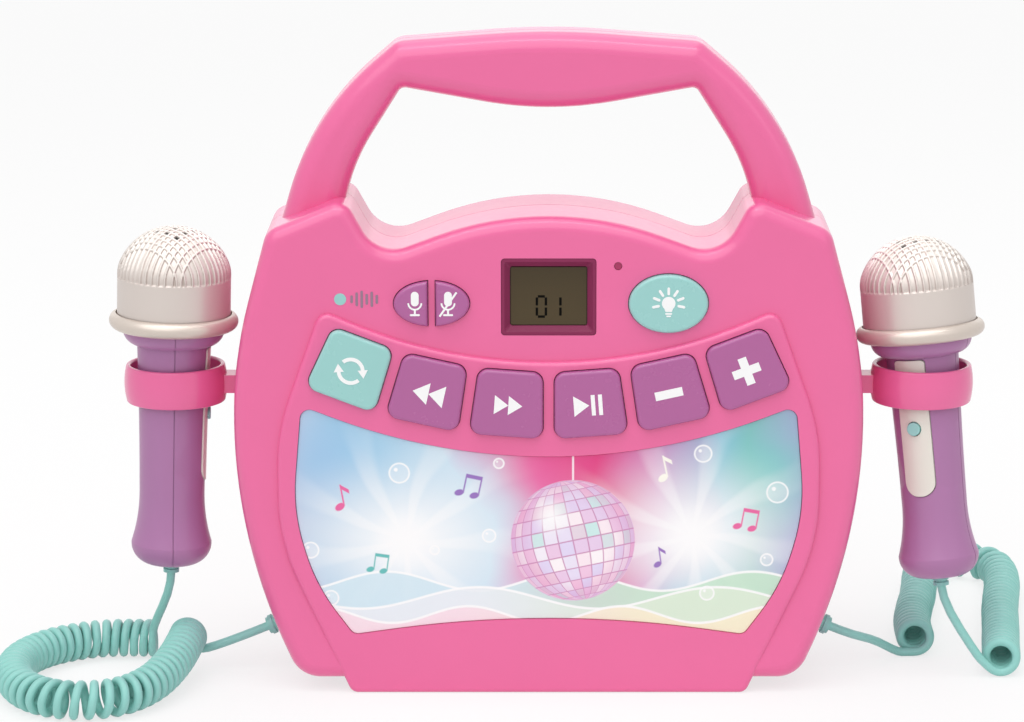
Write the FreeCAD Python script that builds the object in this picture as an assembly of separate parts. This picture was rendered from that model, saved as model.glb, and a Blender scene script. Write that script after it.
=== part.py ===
# Portable karaoke machine with a carry handle, a lit picture panel and two corded microphones.
# Millimetres. +Z is up, -Y is the front, and the origin is the middle of the base's underside.
import FreeCAD, Part
import math
import os

V = FreeCAD.Vector
X_AXIS = V(1, 0, 0)
Y_AXIS = V(0, 1, 0)
Z_AXIS = V(0, 0, 1)

# Body: planes from front to back
FRONT_Y = -36.0
PART_Y = -4.0
BACK_Y = 34.0
WALL = 2.5
SEAM_WIDTH = 0.4
SEAM_DEPTH = 0.5
LEAST_CORNER_R = 1.0
OVERCUT = 1.0
FRONT_EDGE_R = 5.5
REAR_ROUND_DEPTH = 14.0
REAR_ROUND_INSET = 11.0
REAR_ROUND_STEPS = 5

# Body: outline seen from the front, as corners and the radii that round them
BODY_HALF_WIDTH = 126.6
BODY_BOTTOM_Z = 5.5
BOTTOM_CORNER_X = 101.3
BOTTOM_CORNER_R = 13.0
LOWER_BEND_Z = 61.3
LOWER_BEND_R = 230.0
UPPER_BEND_Z = 136.2
UPPER_BEND_R = 189.0
SHOULDER_X = 112.4
SHOULDER_Z = 189.5
SHOULDER_R = 8.0
HORN_X = 81.0
HORN_Z = 202.6
HORN_R = 7.0
DIP_X = 68.0
DIP_Z = 179.0
DIP_R = 14.0
CREST_Z = 204.2
CREST_R = 130.0

# Plinth that the body stands on
PLINTH_HALF_WIDTH = 76.0
PLINTH_CORNER_R = 6.0

# Raised bezel around the keys and the picture panel
BEZEL_PROUD = 2.5
BEZEL_EDGE_R = 2.0
BEZEL_TOP_X = 91.0
BEZEL_HALF_WIDTH = 109.0
BEZEL_UPPER_BEND_Z = 108.5
BEZEL_LOWER_BEND_Z = 62.8
BEZEL_BEND_R = 85.0
BEZEL_BOTTOM_X = 80.0
BEZEL_BOTTOM_R = 4.0
BEZEL_CORNER_R = 5.0

# Flare of the front face towards the bezel's level at its foot
CHIN_Z = 80.0
CHIN_PROUD = 2.5

# Fan of six keys around a point above the machine
FAN_Z = 340.0
FAN_MID_R = 220.0
FAN_PITCH_DEG = 8.4
FAN_KEY_HEIGHT = 27.0
FAN_KEY_GAP = 4.6
FAN_KEY_CORNER_R = 4.5
FAN_BEZEL_MARGIN = 4.0
FAN_PANEL_MARGIN = 7.5
FAN_ARC_SHARE = 0.86
FAN_KEYS = ("key_mode", "key_rewind", "key_forward", "key_play", "key_minus", "key_plus")

# What all keys share
KEY_PROUD = 2.6
KEY_EDGE_R = 1.4
KEY_CLEARANCE = 0.35
KEY_SEAT_GAP = 0.2
KEY_FLANGE = 1.2
KEY_FLANGE_THICK = 1.5
KEY_TRAVEL = 1.5
KEY_STEM_R = 3.0
KEY_STEM_LENGTH = 5.0

# Oval keys
LIGHT_KEY_X = 47.7
OVAL_KEYS_Z = 161.2
LIGHT_KEY_WIDTH = 31.6
LIGHT_KEY_HEIGHT = 23.6
MIC_KEYS_X = -46.6
MIC_KEYS_WIDTH = 30.2
MIC_KEYS_HEIGHT = 18.2
MIC_KEYS_SPLIT = 3.2

# Display and indicator
LCD_Z = 163.7
LCD_WIDTH = 38.0
LCD_HEIGHT = 31.2
LCD_FRAME = 3.4
LCD_LIP = 1.2
LCD_RECESS = 2.4
LCD_FLANGE = 1.5
LCD_CORNER_R = 1.5
LCD_GLASS_R = 0.5
INDICATOR_X = 27.6
INDICATOR_Z = 176.2
INDICATOR_R = 1.5
INDICATOR_RECESS = 0.4

# Picture panel
PANEL_TOP_X = 99.2
PANEL_HALF_WIDTH = 103.0
PANEL_UPPER_BEND_Z = 76.0
PANEL_LOWER_BEND_X = 94.0
PANEL_LOWER_BEND_Z = 45.0
PANEL_BEND_R = 80.0
PANEL_BOTTOM_X = 79.0
PANEL_BOTTOM_Z = 24.6
PANEL_BOTTOM_RISE = 11.0
PANEL_BOTTOM_R = 443.0
PANEL_CORNER_R = 4.0
PANEL_RECESS = 0.8
PANEL_CLEARANCE = 0.3
PANEL_FLANGE = 2.4
PANEL_FLANGE_THICK = 1.5
LIGHT_BOX_DEPTH = 24.0
LIGHT_BOX_WALL = 1.6
LED_BOARD_INSET = 8.0
LED_R = 2.5
LED_HEIGHT = 7.0
LED_SPACING = 60.0
LED_ROWS_Z = (52.0, 82.0)

# Control board behind the keys
BOARD_THICK = 1.6
BOARD_HALF_WIDTH = 97.0
BOARD_TOP_Z = 178.0
BOARD_PANEL_MARGIN = 4.0
SWITCH_SIZE = 6.0
SWITCH_GAP = 0.3
SWITCH_HEIGHT = 3.2
BOARD_POST_R = 3.0
BOARD_POSTS = ((91.0, 163.5), (30.0, 141.5))

# Carry handle
HANDLE_DEPTH = 30.0
HANDLE_WALL = 3.0
HANDLE_EDGE_R = 7.5
LEG_FOOT_Z = 176.0
LEG_OUTER_X = 111.9
LEG_INNER_X = 86.8
OUTER_BEND_X = 94.8
OUTER_BEND_Z = 233.7
OUTER_BEND_R = 110.0
GRIP_END_X = 60.5
GRIP_END_Z = 263.0
GRIP_END_R = 9.0
GRIP_TOP_Z = 267.6
GRIP_TOP_R = 300.0
INNER_BEND_X = 78.0
INNER_BEND_Z = 214.3
INNER_BEND_R = 80.0
GRIP_UNDER_X = 58.8
GRIP_UNDER_Z = 244.6
GRIP_UNDER_R = 3.0
GRIP_BOTTOM_Z = 234.0
GRIP_BOTTOM_R = 150.0
TENON_X = 96.0
TENON_WIDTH = 10.0
TENON_DEPTH = 14.0
TENON_LENGTH = 9.0
TENON_CLEARANCE = 0.2

# Screws
SCREW_R = 1.3
SCREW_LENGTH = 16.0
SCREW_HEAD_R = 2.6
SCREW_HEAD_HEIGHT = 2.0
SCREW_CLEARANCE = 0.15
BOSS_R = 4.6
BOSS_BITE = 9.0
CASE_SCREWS = ((104.0, 146.0), (112.0, 72.0), (70.0, 14.5))

# Speaker on the back wall
SPEAKER_Z = 133.0
SPEAKER_R = 33.0
SPEAKER_RIM = 4.0
SPEAKER_RIM_THICK = 2.0
SPEAKER_DEPTH = 15.0
SPEAKER_MAGNET_R = 16.0
SPEAKER_MAGNET_THICK = 8.0
SPEAKER_SKIN = 1.0
GRILLE_SLOT_WIDTH = 3.0
GRILLE_SLOT_PITCH = 6.0

# Batteries, their tray and door
CELL_R = 13.1
CELL_LENGTH = 50.0
CELL_GAP = 0.3
CELL_CAP_R = 3.2
CELL_CAP_HEIGHT = 1.6
CONTACT_THICK = 0.6
CONTACT_HALF_WIDTH = 7.9
TRAY_WALL = 1.6
TRAY_Z = 58.0
TRAY_LEDGE = 7.0
DOOR_CLEARANCE = 0.4
DOOR_CORNER_R = 4.0
DOOR_SCREW_RECESS = 1.4

# Power slide switch on the back wall
POWER_X = 74.0
POWER_Z = 128.0
POWER_SLOT_LENGTH = 14.0
POWER_SLOT_HEIGHT = 6.0
POWER_TRAVEL = 5.0
POWER_CLEARANCE = 0.3
POWER_PROUD = 1.2
POWER_BODY_DEPTH = 7.0
POWER_BODY_LENGTH = 39.0
POWER_CORNER_R = 0.8

# Microphone rings on the body's sides
RING_Z = 122.3
RING_BORE_R = 18.2
RING_WALL = 2.0
RING_SWELL = 0.8
RING_HEIGHT = 15.5
RING_EDGE_R = 0.9
RING_STUB = 5.0
RING_STUB_DEPTH = 11.0
RING_STUB_HEIGHT = 7.4
RING_FLANGE = 3.0
RING_FLANGE_THICK = 2.0
RING_CLEARANCE = 0.2

# Microphones, along their own axis from the bottom
MIC_NECK_R = 14.8
MIC_WAIST_R = 13.3
MIC_FLARE_R = 16.4
MIC_FOOT_R = 11.0
MIC_WAIST_Z = 30.0
MIC_FLARE_Z = 8.5
MIC_HANDLE_LENGTH = 91.5
MIC_BORE_R = 10.4
MIC_FLOOR = 8.0
MIC_FOOT_BULGE = 1.2
MIC_FOOT_BULGE_SHARE = 0.42
MIC_WAIST_SHARE = 0.22
MIC_SIDE_HOLLOW = 0.3
MIC_BOWL_R = 20.6
MIC_BOWL_HEIGHT = 6.5
MIC_BOWL_LEDGE = 0.8
MIC_BOWL_OUT = 1.2
MIC_BOWL_DOWN = 1.0
COLLAR_R = 26.2
COLLAR_HEIGHT = 6.4
COLLAR_GROOVE = 0.6
COLLAR_GROOVE_DEPTH = 2.5
HEAD_R = 23.0
HEAD_CYLINDER = 18.5
HEAD_DOME = 19.5
HEAD_SHOULDER_R = 13.0
HEAD_SKIN = 1.4
LATTICE_PITCH = 2.6
LATTICE_RIB = 0.55
LATTICE_DEPTH = 0.6
LATTICE_DROP = 1.3
LATTICE_HOLES_REACH = 8.6
CAPSULE_R = 9.5
CAPSULE_HEIGHT = 11.0
STRIP_WIDTH = 12.9
STRIP_TOP_MARGIN = 0.8
STRIP_LENGTH = 56.0
STRIP_PROUD = 0.5
STRIP_SINK = 0.9
STRIP_CLEARANCE = 0.3
STRIP_CORNER_R = 1.5
STRIP_FOOT_SHARE = 0.9
MIC_BUTTON_Z = 62.7
MIC_BUTTON_R = 2.75
MIC_BUTTON_PROUD = 0.8
MIC_BUTTON_CLEARANCE = 0.3
MIC_BUTTON_FLANGE = 1.4
MIC_BUTTON_FLANGE_THICK = 1.2
MIC_RING_GAP = 0.3

# How each microphone stands in its ring
LEFT_MIC_TURN_DEG = 97.0
LEFT_MIC_LEAN_DEG = 1.8
LEFT_MIC_TILT_DEG = 0.0
LEFT_MIC_DROP = 16.6
LEFT_MIC_BEARING_DEG = 15.0
LEFT_HEAD_TURN_DEG = -50.0
RIGHT_MIC_TURN_DEG = -29.0
RIGHT_MIC_LEAN_DEG = -5.4
RIGHT_MIC_TILT_DEG = 5.0
RIGHT_MIC_DROP = 11.9
RIGHT_MIC_BEARING_DEG = 30.0
RIGHT_HEAD_TURN_DEG = -19.0

# Cords
CORD_R = 1.8
CURL_R = 6.2
FLOOR_GAP = 0.25
LEFT_CURLS = 42.25
LEFT_CURLS_START_DEG = 180.0
RIGHT_CURLS = 57.125
RIGHT_CURLS_START_DEG = -90.0
GLAND_Z = 21.8
GLAND_R = 4.1
GLAND_LENGTH = 8.0
GLAND_NECK_R = 2.6
GLAND_CLEARANCE = 0.15
GLAND_FLANGE_R = 5.0
GLAND_FLANGE_THICK = 2.0
GLAND_RIBS = 3
RELIEF_R = 3.25
RELIEF_LENGTH = 4.6
RELIEF_RIBS = 2
RIB_DEPTH = 0.6
RIB_SHARE = 0.62

# Routes of the curled stretches on the floor, (x, y) along the middle of the curls
LEFT_CURL_ROUTE = (
    (-161, 5), (-178, 7), (-195, 4), (-209, -6), (-217, -22), (-218, -42), (-211, -61),
    (-197, -75), (-180, -78), (-165, -70), (-155, -53), (-150, -34), (-150, -13),
)
RIGHT_CURL_ROUTE = (
    (156, 13), (151, 33), (152, 55), (156, 77), (160, 97), (164.5, 114), (167, 130), (179.5, 140),
    (195.5, 140), (208, 130), (210.5, 114), (209, 95), (206, 75), (202, 54), (197.5, 33), (192.5, 12),
    (188.5, -7), (186.5, -16),
)

# Points of the free leads between the straight runs at their ends, from the object to the curls
LEAD_END_RUN = 9.5
ROUTE_ARC_SHARE = 0.45
LEFT_MIC_LEAD = ()
LEFT_BODY_LEAD = ()
RIGHT_MIC_LEAD = ()
RIGHT_BODY_LEAD = ((133.0, 3.5, 6.6),)


# Points, outlines and plates

def mirrored(right, middle):
    """Corners of a symmetric outline from its right half, bottom up, and a middle corner on top."""
    left = [(-x, z, r) for x, z, r in reversed(right)]
    return list(right) + [middle] + left


def moved_inward(corners, inset):
    """Corners of the outline whose every straight run lies inset further in."""
    count = len(corners)
    points = [V(x, 0, z) for x, z, r in corners]
    moved = []
    for i, (x, z, radius) in enumerate(corners):
        before = (points[i] - points[i - 1]).normalize()
        after = (points[(i + 1) % count] - points[i]).normalize()
        cross = before.x * after.z - before.z * after.x
        along = (1 - before.dot(after)) / cross
        corner = points[i] + (V(-before.z, 0, before.x) - before * along) * inset
        grown = radius - inset if cross > 0 else radius + inset
        moved.append((corner.x, corner.z, max(grown, min(radius, LEAST_CORNER_R))))
    return moved


def outline(corners, y=0.0, inset=0.0):
    """Closed wire at y of straight runs and tangent arcs around (x, z, radius) corners."""
    corners = moved_inward(corners, inset) if inset else corners
    count = len(corners)
    points = [V(x, y, z) for x, z, r in corners]
    arcs = []
    for i in range(count):
        before = (points[i] - points[i - 1]).normalize()
        after = (points[(i + 1) % count] - points[i]).normalize()
        half = before.getAngle(after) / 2
        reach = corners[i][2] * math.tan(half)
        inside = (after - before).normalize()
        apex = points[i] + inside * (corners[i][2] * (1 / math.cos(half) - 1))
        arcs.append((points[i] - before * reach, apex, points[i] + after * reach))
    edges = []
    for i in range(count):
        start, apex, end = arcs[i]
        last_end = arcs[i - 1][2]
        if last_end.distanceToPoint(start) > 1e-6:
            edges.append(Part.LineSegment(last_end, start).toShape())
        if start.distanceToPoint(end) > 1e-6:
            edges.append(Part.Arc(start, apex, end).toShape())
    return Part.Wire(edges)


def plate(corners, y0, y1, inset=0.0):
    """Solid between two planes of constant y inside an outline."""
    return Part.Face(outline(corners, y0, inset)).extrude(V(0, y1 - y0, 0))


def rectangle(x, z, width, height, radius):
    """Corners of a rectangle about a centre."""
    w, h = width / 2, height / 2
    return [(x - w, z - h, radius), (x + w, z - h, radius), (x + w, z + h, radius), (x - w, z + h, radius)]


def oval(x, z, width, height, y0, y1, grow=0.0):
    """Elliptic plate between two planes of constant y."""
    curve = Part.Ellipse(V(0, 0, 0), width / 2 + grow, height / 2 + grow)
    face = Part.Face(Part.Wire(curve.toShape()))
    face.rotate(V(0, 0, 0), X_AXIS, 90)
    face.translate(V(x, y0, z))
    return face.extrude(V(0, y1 - y0, 0))


def rod(x, z, radius, y0, y1):
    """Round bar along Y."""
    return Part.makeCylinder(radius, y1 - y0, V(x, y0, z), Y_AXIS)


def block(x0, x1, y0, y1, z0, z1):
    """Box between two corners."""
    return Part.makeBox(x1 - x0, y1 - y0, z1 - z0, V(x0, y0, z0))


def edges_on_plane(shape, y):
    """Edges of a shape that lie in one plane of constant y."""
    return [e for e in shape.Edges if all(abs(e.valueAt(p).y - y) < 1e-4 for p in e.ParameterRange)
            and abs(e.valueAt(sum(e.ParameterRange) / 2).y - y) < 1e-4]


def revolved(points, bulge=None):
    """Solid turned about Z from (radius, z) points; bulge maps a run's index to its arc's middle point."""
    bulge = bulge or {}
    corners = [V(r, 0, z) for r, z in points]
    edges = []
    for i, start in enumerate(corners):
        end = corners[(i + 1) % len(corners)]
        if i in bulge:
            edges.append(Part.Arc(start, V(bulge[i][0], 0, bulge[i][1]), end).toShape())
        else:
            edges.append(Part.LineSegment(start, end).toShape())
    return Part.Face(Part.Wire(edges)).revolve(V(0, 0, 0), Z_AXIS, 360)


def fused(shapes):
    """One clean solid from several that meet."""
    shapes = list(shapes)
    return shapes[0].fuse(shapes[1:]).removeSplitter()


def both_sides(shapes):
    """The shapes and their mirror images across the middle plane."""
    shapes = list(shapes)
    return shapes + [s.mirror(V(0, 0, 0), X_AXIS) for s in shapes]


# Outlines worked out from the driving sizes

BODY = mirrored(
    [(BOTTOM_CORNER_X, BODY_BOTTOM_Z, BOTTOM_CORNER_R),
     (BODY_HALF_WIDTH, LOWER_BEND_Z, LOWER_BEND_R),
     (BODY_HALF_WIDTH, UPPER_BEND_Z, UPPER_BEND_R),
     (SHOULDER_X, SHOULDER_Z, SHOULDER_R),
     (HORN_X, HORN_Z, HORN_R),
     (DIP_X, DIP_Z, DIP_R)],
    (0.0, CREST_Z, CREST_R))


def fan_corner(radius, x):
    """Height of the tangent corner that rounds a fan edge, and the height where that edge reaches x."""
    slope = FAN_ARC_SHARE * x / math.sqrt(radius ** 2 - x ** 2)
    corner_z = FAN_Z - radius * math.sqrt(1 + slope ** 2)
    return corner_z, corner_z + slope * x


BEZEL_TOP_ARC = FAN_MID_R - FAN_KEY_HEIGHT / 2 - FAN_BEZEL_MARGIN
BEZEL_MIDDLE_Z, BEZEL_TOP_Z = fan_corner(BEZEL_TOP_ARC, BEZEL_TOP_X)
BEZEL = mirrored(
    [(BEZEL_BOTTOM_X, 0.0, BEZEL_BOTTOM_R),
     (BEZEL_HALF_WIDTH, BEZEL_LOWER_BEND_Z, BEZEL_BEND_R),
     (BEZEL_HALF_WIDTH, BEZEL_UPPER_BEND_Z, BEZEL_BEND_R),
     (BEZEL_TOP_X, BEZEL_TOP_Z, BEZEL_CORNER_R)],
    (0.0, BEZEL_MIDDLE_Z, BEZEL_TOP_ARC))

PANEL_TOP_ARC = FAN_MID_R + FAN_KEY_HEIGHT / 2 + FAN_PANEL_MARGIN
PANEL_MIDDLE_Z, PANEL_TOP_Z = fan_corner(PANEL_TOP_ARC, PANEL_TOP_X)
PANEL = mirrored(
    [(PANEL_BOTTOM_X, PANEL_BOTTOM_Z, PANEL_CORNER_R),
     (PANEL_LOWER_BEND_X, PANEL_LOWER_BEND_Z, PANEL_BEND_R),
     (PANEL_HALF_WIDTH, PANEL_UPPER_BEND_Z, PANEL_BEND_R),
     (PANEL_TOP_X, PANEL_TOP_Z, PANEL_CORNER_R)],
    (0.0, PANEL_MIDDLE_Z, PANEL_TOP_ARC))
PANEL.append((0.0, PANEL_BOTTOM_Z + PANEL_BOTTOM_RISE, PANEL_BOTTOM_R))

HANDLE_OUTER = [(LEG_OUTER_X, LEG_FOOT_Z, 0.0), (OUTER_BEND_X, OUTER_BEND_Z, OUTER_BEND_R),
                (GRIP_END_X, GRIP_END_Z, GRIP_END_R)]
HANDLE_INNER = [(LEG_INNER_X, LEG_FOOT_Z, 0.0), (INNER_BEND_X, INNER_BEND_Z, INNER_BEND_R),
                (GRIP_UNDER_X, GRIP_UNDER_Z, GRIP_UNDER_R)]
HANDLE = mirrored(HANDLE_OUTER, (0.0, GRIP_TOP_Z, GRIP_TOP_R))
HANDLE += reversed(mirrored(HANDLE_INNER, (0.0, GRIP_BOTTOM_Z, GRIP_BOTTOM_R)))

WALL_IN_Y = FRONT_Y + WALL
BACK_IN_Y = BACK_Y - WALL
FLANGE_Y = WALL_IN_Y + KEY_SEAT_GAP
STEM_TIP_Y = FLANGE_Y + KEY_FLANGE_THICK + KEY_STEM_LENGTH
SWITCH_Y = STEM_TIP_Y + KEY_TRAVEL + SWITCH_GAP
BOARD_Y = SWITCH_Y + SWITCH_HEIGHT
PANEL_BACK_Y = WALL_IN_Y + PANEL_FLANGE_THICK
LIGHT_BOX_BACK_Y = PANEL_BACK_Y + LIGHT_BOX_DEPTH
DOOR_HALF_WIDTH = CELL_LENGTH + CELL_CAP_HEIGHT + CONTACT_THICK + CELL_GAP + TRAY_LEDGE
DOOR_HALF_HEIGHT = 2 * CELL_R + 2 * CELL_GAP + TRAY_WALL
TRAY_FLOOR_Y = BACK_IN_Y - 2 * CELL_R - 2 * CELL_GAP


def side_point(z):
    """Point and outward normal of the body's right side at a height, on either bend or between them."""
    lower_slope = (BODY_HALF_WIDTH - BOTTOM_CORNER_X) / (LOWER_BEND_Z - BODY_BOTTOM_Z)
    upper_slope = (BODY_HALF_WIDTH - SHOULDER_X) / (SHOULDER_Z - UPPER_BEND_Z)
    lower_end = LOWER_BEND_Z + LOWER_BEND_R * math.tan(math.atan(lower_slope) / 2)
    upper_end = UPPER_BEND_Z - UPPER_BEND_R * math.tan(math.atan(upper_slope) / 2)
    radius, centre_z = UPPER_BEND_R, min(z, upper_end)
    if z < lower_end:
        radius, centre_z = LOWER_BEND_R, lower_end
    rise = z - centre_z
    reach = math.sqrt(radius ** 2 - rise ** 2)
    point = V(BODY_HALF_WIDTH - radius + reach, PART_Y, z)
    return point, V(reach, 0, rise) * (1 / radius)


RING_X = side_point(RING_Z)[0].x + RING_STUB + RING_BORE_R + RING_WALL + RING_SWELL


# Body shells

def seam(corners, y0, y1):
    """Shallow groove around an outline between two planes of constant y."""
    return plate(corners, y0, y1, -SEAM_DEPTH).cut(plate(corners, y0, y1, SEAM_DEPTH))


def chin_y(z):
    """Plane of the body's front face at a height: upright, and flared on an arc below the chin's top."""
    radius = (CHIN_Z ** 2 + CHIN_PROUD ** 2) / (2 * CHIN_PROUD)
    return FRONT_Y - radius + math.sqrt(radius ** 2 - max(CHIN_Z - z, 0.0) ** 2)


def on_front(edge):
    """Whether an edge bounds the body's front face, and isn't the line where its flare begins."""
    first, last = edge.ParameterRange
    points = [edge.valueAt(first + (last - first) * share) for share in (0.0, 0.4, 1.0)]
    begins = all(abs(p.z - CHIN_Z) < 1e-4 for p in points)
    return not begins and all(abs(p.y - chin_y(p.z)) < 1e-3 for p in points)


def front_block():
    """Outside of the front half of the body, flared towards its foot, with its rounded front edge."""
    reach, top = 2 * BODY_HALF_WIDTH, 2 * CREST_Z
    foot, chin = V(-reach, chin_y(0.0), 0), V(-reach, FRONT_Y, CHIN_Z)
    back = [V(-reach, FRONT_Y, top), V(-reach, PART_Y, top), V(-reach, PART_Y, 0), foot]
    edges = [Part.Arc(foot, V(-reach, chin_y(CHIN_Z / 2), CHIN_Z / 2), chin).toShape()]
    edges += [Part.LineSegment(a, b).toShape() for a, b in zip([chin] + back, back)]
    limits = Part.Face(Part.Wire(edges)).extrude(V(2 * reach, 0, 0))
    solid = plate(BODY, FRONT_Y - 2 * CHIN_PROUD, PART_Y).common(limits)
    return solid.makeFillet(FRONT_EDGE_R, [e for e in solid.Edges if on_front(e)])


def rear_block(inset, back_y):
    """Rear half of the body out to a back plane, rounded towards it."""
    wires = [outline(BODY, PART_Y, inset)]
    for step in range(REAR_ROUND_STEPS + 1):
        angle = math.pi / 2 * step / REAR_ROUND_STEPS
        y = back_y - REAR_ROUND_DEPTH * (1 - math.sin(angle))
        wires.append(outline(BODY, y, inset + REAR_ROUND_INSET * (1 - math.cos(angle))))
    return Part.makeLoft(wires, True, True)


def plinth(y0, y1):
    """Flat foot between two planes of constant y, from the floor into the body's wall."""
    back = BACK_Y - REAR_ROUND_DEPTH
    w, r = PLINTH_HALF_WIDTH, PLINTH_CORNER_R
    corners = [(-w, 2 * FRONT_Y, r), (w, 2 * FRONT_Y, r), (w, back, r), (-w, back, r)]
    height = BODY_BOTTOM_Z + WALL / 2
    foot = plate(corners, -height, 0.0)
    foot.rotate(V(0, 0, 0), X_AXIS, -90)
    return foot.common(block(-2 * w, 2 * w, y0, y1, 0, height))


def fan_key_corners(grow=0.0):
    """Corners of the key in the middle of the fan."""
    corners = []
    for r, side in ((FAN_MID_R + FAN_KEY_HEIGHT / 2, -1), (FAN_MID_R + FAN_KEY_HEIGHT / 2, 1),
                    (FAN_MID_R - FAN_KEY_HEIGHT / 2, 1), (FAN_MID_R - FAN_KEY_HEIGHT / 2, -1)):
        angle = math.radians(FAN_PITCH_DEG / 2) - math.asin(FAN_KEY_GAP / 2 / r)
        corners.append((side * r * math.sin(angle), FAN_Z - r * math.cos(angle), FAN_KEY_CORNER_R))
    return moved_inward(corners, -grow) if grow else corners


def fan_angle(index):
    """Turn of a fan key from the middle, in degrees."""
    return (index - (len(FAN_KEYS) - 1) / 2) * FAN_PITCH_DEG


def fan_place(shape, index):
    """A shape made in the middle of the fan, turned to the place of one key."""
    return shape.rotated(V(0, 0, FAN_Z), Y_AXIS, -fan_angle(index))


def fan_form(index, y0, y1, grow=0.0):
    """Plate of one fan key's outline."""
    return fan_place(plate(fan_key_corners(grow), y0, y1), index)


def light_key_form(y0, y1, grow=0.0):
    """Plate of the oval light key's outline."""
    return oval(LIGHT_KEY_X, OVAL_KEYS_Z, LIGHT_KEY_WIDTH, LIGHT_KEY_HEIGHT, y0, y1, grow)


def mic_key_form(side, y0, y1, grow=0.0):
    """Plate of one half of the split oval: side -1 is the left half and 1 the right."""
    whole = oval(MIC_KEYS_X, OVAL_KEYS_Z, MIC_KEYS_WIDTH, MIC_KEYS_HEIGHT, y0, y1, grow)
    near = MIC_KEYS_X + side * (MIC_KEYS_SPLIT / 2 - min(grow, MIC_KEYS_SPLIT / 4))
    far = MIC_KEYS_X + side * MIC_KEYS_WIDTH
    half = block(min(near, far), max(near, far), min(y0, y1), max(y0, y1),
                 OVAL_KEYS_Z - MIC_KEYS_HEIGHT, OVAL_KEYS_Z + MIC_KEYS_HEIGHT)
    return whole.common(half)


def key_forms():
    """Each key's name, outline plate, front plane and middle."""
    forms = {}
    for index, name in enumerate(FAN_KEYS):
        angle = math.radians(fan_angle(index))
        middle = (FAN_MID_R * math.sin(angle), FAN_Z - FAN_MID_R * math.cos(angle))
        forms[name] = (lambda y0, y1, grow=0.0, i=index: fan_form(i, y0, y1, grow),
                       FRONT_Y - BEZEL_PROUD, middle)
    quarter = MIC_KEYS_WIDTH / 4
    forms["key_mic_on"] = (lambda y0, y1, grow=0.0: mic_key_form(-1, y0, y1, grow),
                           FRONT_Y, (MIC_KEYS_X - quarter, OVAL_KEYS_Z))
    forms["key_mic_mute"] = (lambda y0, y1, grow=0.0: mic_key_form(1, y0, y1, grow),
                             FRONT_Y, (MIC_KEYS_X + quarter, OVAL_KEYS_Z))
    forms["key_light"] = (light_key_form, FRONT_Y, (LIGHT_KEY_X, OVAL_KEYS_Z))
    return forms


def key(form, face_y, middle):
    """Key cap with a rounded rim, the flange that stops it behind the wall, and its stem."""
    cap = form(face_y - KEY_PROUD, FLANGE_Y)
    cap = cap.makeFillet(KEY_EDGE_R, edges_on_plane(cap, face_y - KEY_PROUD))
    flange = form(FLANGE_Y, FLANGE_Y + KEY_FLANGE_THICK, KEY_FLANGE)
    stem = rod(*middle, KEY_STEM_R, FLANGE_Y, STEM_TIP_Y)
    return fused([cap, flange, stem])


def case_screw_places():
    """Middles of the six case screws."""
    return [(side * x, z) for side in (1, -1) for x, z in CASE_SCREWS]


def tenons(grow=0.0):
    """Blocks where the handle's feet pass down through the shoulders."""
    w, d = TENON_WIDTH / 2 + grow, TENON_DEPTH / 2 + grow
    slope = (HORN_Z - SHOULDER_Z) / (SHOULDER_X - HORN_X)
    top = SHOULDER_Z + slope * (SHOULDER_X - TENON_X + TENON_WIDTH / 2)
    return both_sides([block(TENON_X - w, TENON_X + w, PART_Y - d, PART_Y + d,
                             top - TENON_LENGTH - grow, top + TENON_LENGTH)])


def ring_flange_x():
    """Outer face of the rings' inner flange, clear of the wall at its narrowest place."""
    reach = RING_STUB_HEIGHT / 2 + RING_FLANGE
    narrow = min(side_point(RING_Z + side * reach)[0].x for side in (-1, 1))
    return narrow - WALL - RING_CLEARANCE


def ring_stub(grow, end_x):
    """Bar that carries the right ring, from its inner flange out to a plane."""
    d, h = RING_STUB_DEPTH / 2 + grow, RING_STUB_HEIGHT / 2 + grow
    return block(ring_flange_x(), end_x, PART_Y - d, PART_Y + d, RING_Z - h, RING_Z + h)


def gland_hole():
    """Round hole for the right cord gland's neck, square to the body's side."""
    point, normal = side_point(GLAND_Z)
    return Part.makeCylinder(GLAND_NECK_R + GLAND_CLEARANCE, 4 * WALL, point - normal * 2 * WALL, normal)


def side_cuts():
    """Openings that both shells share along their meeting plane."""
    return tenons(TENON_CLEARANCE) + both_sides([ring_stub(RING_CLEARANCE, RING_X), gland_hole()])


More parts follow.
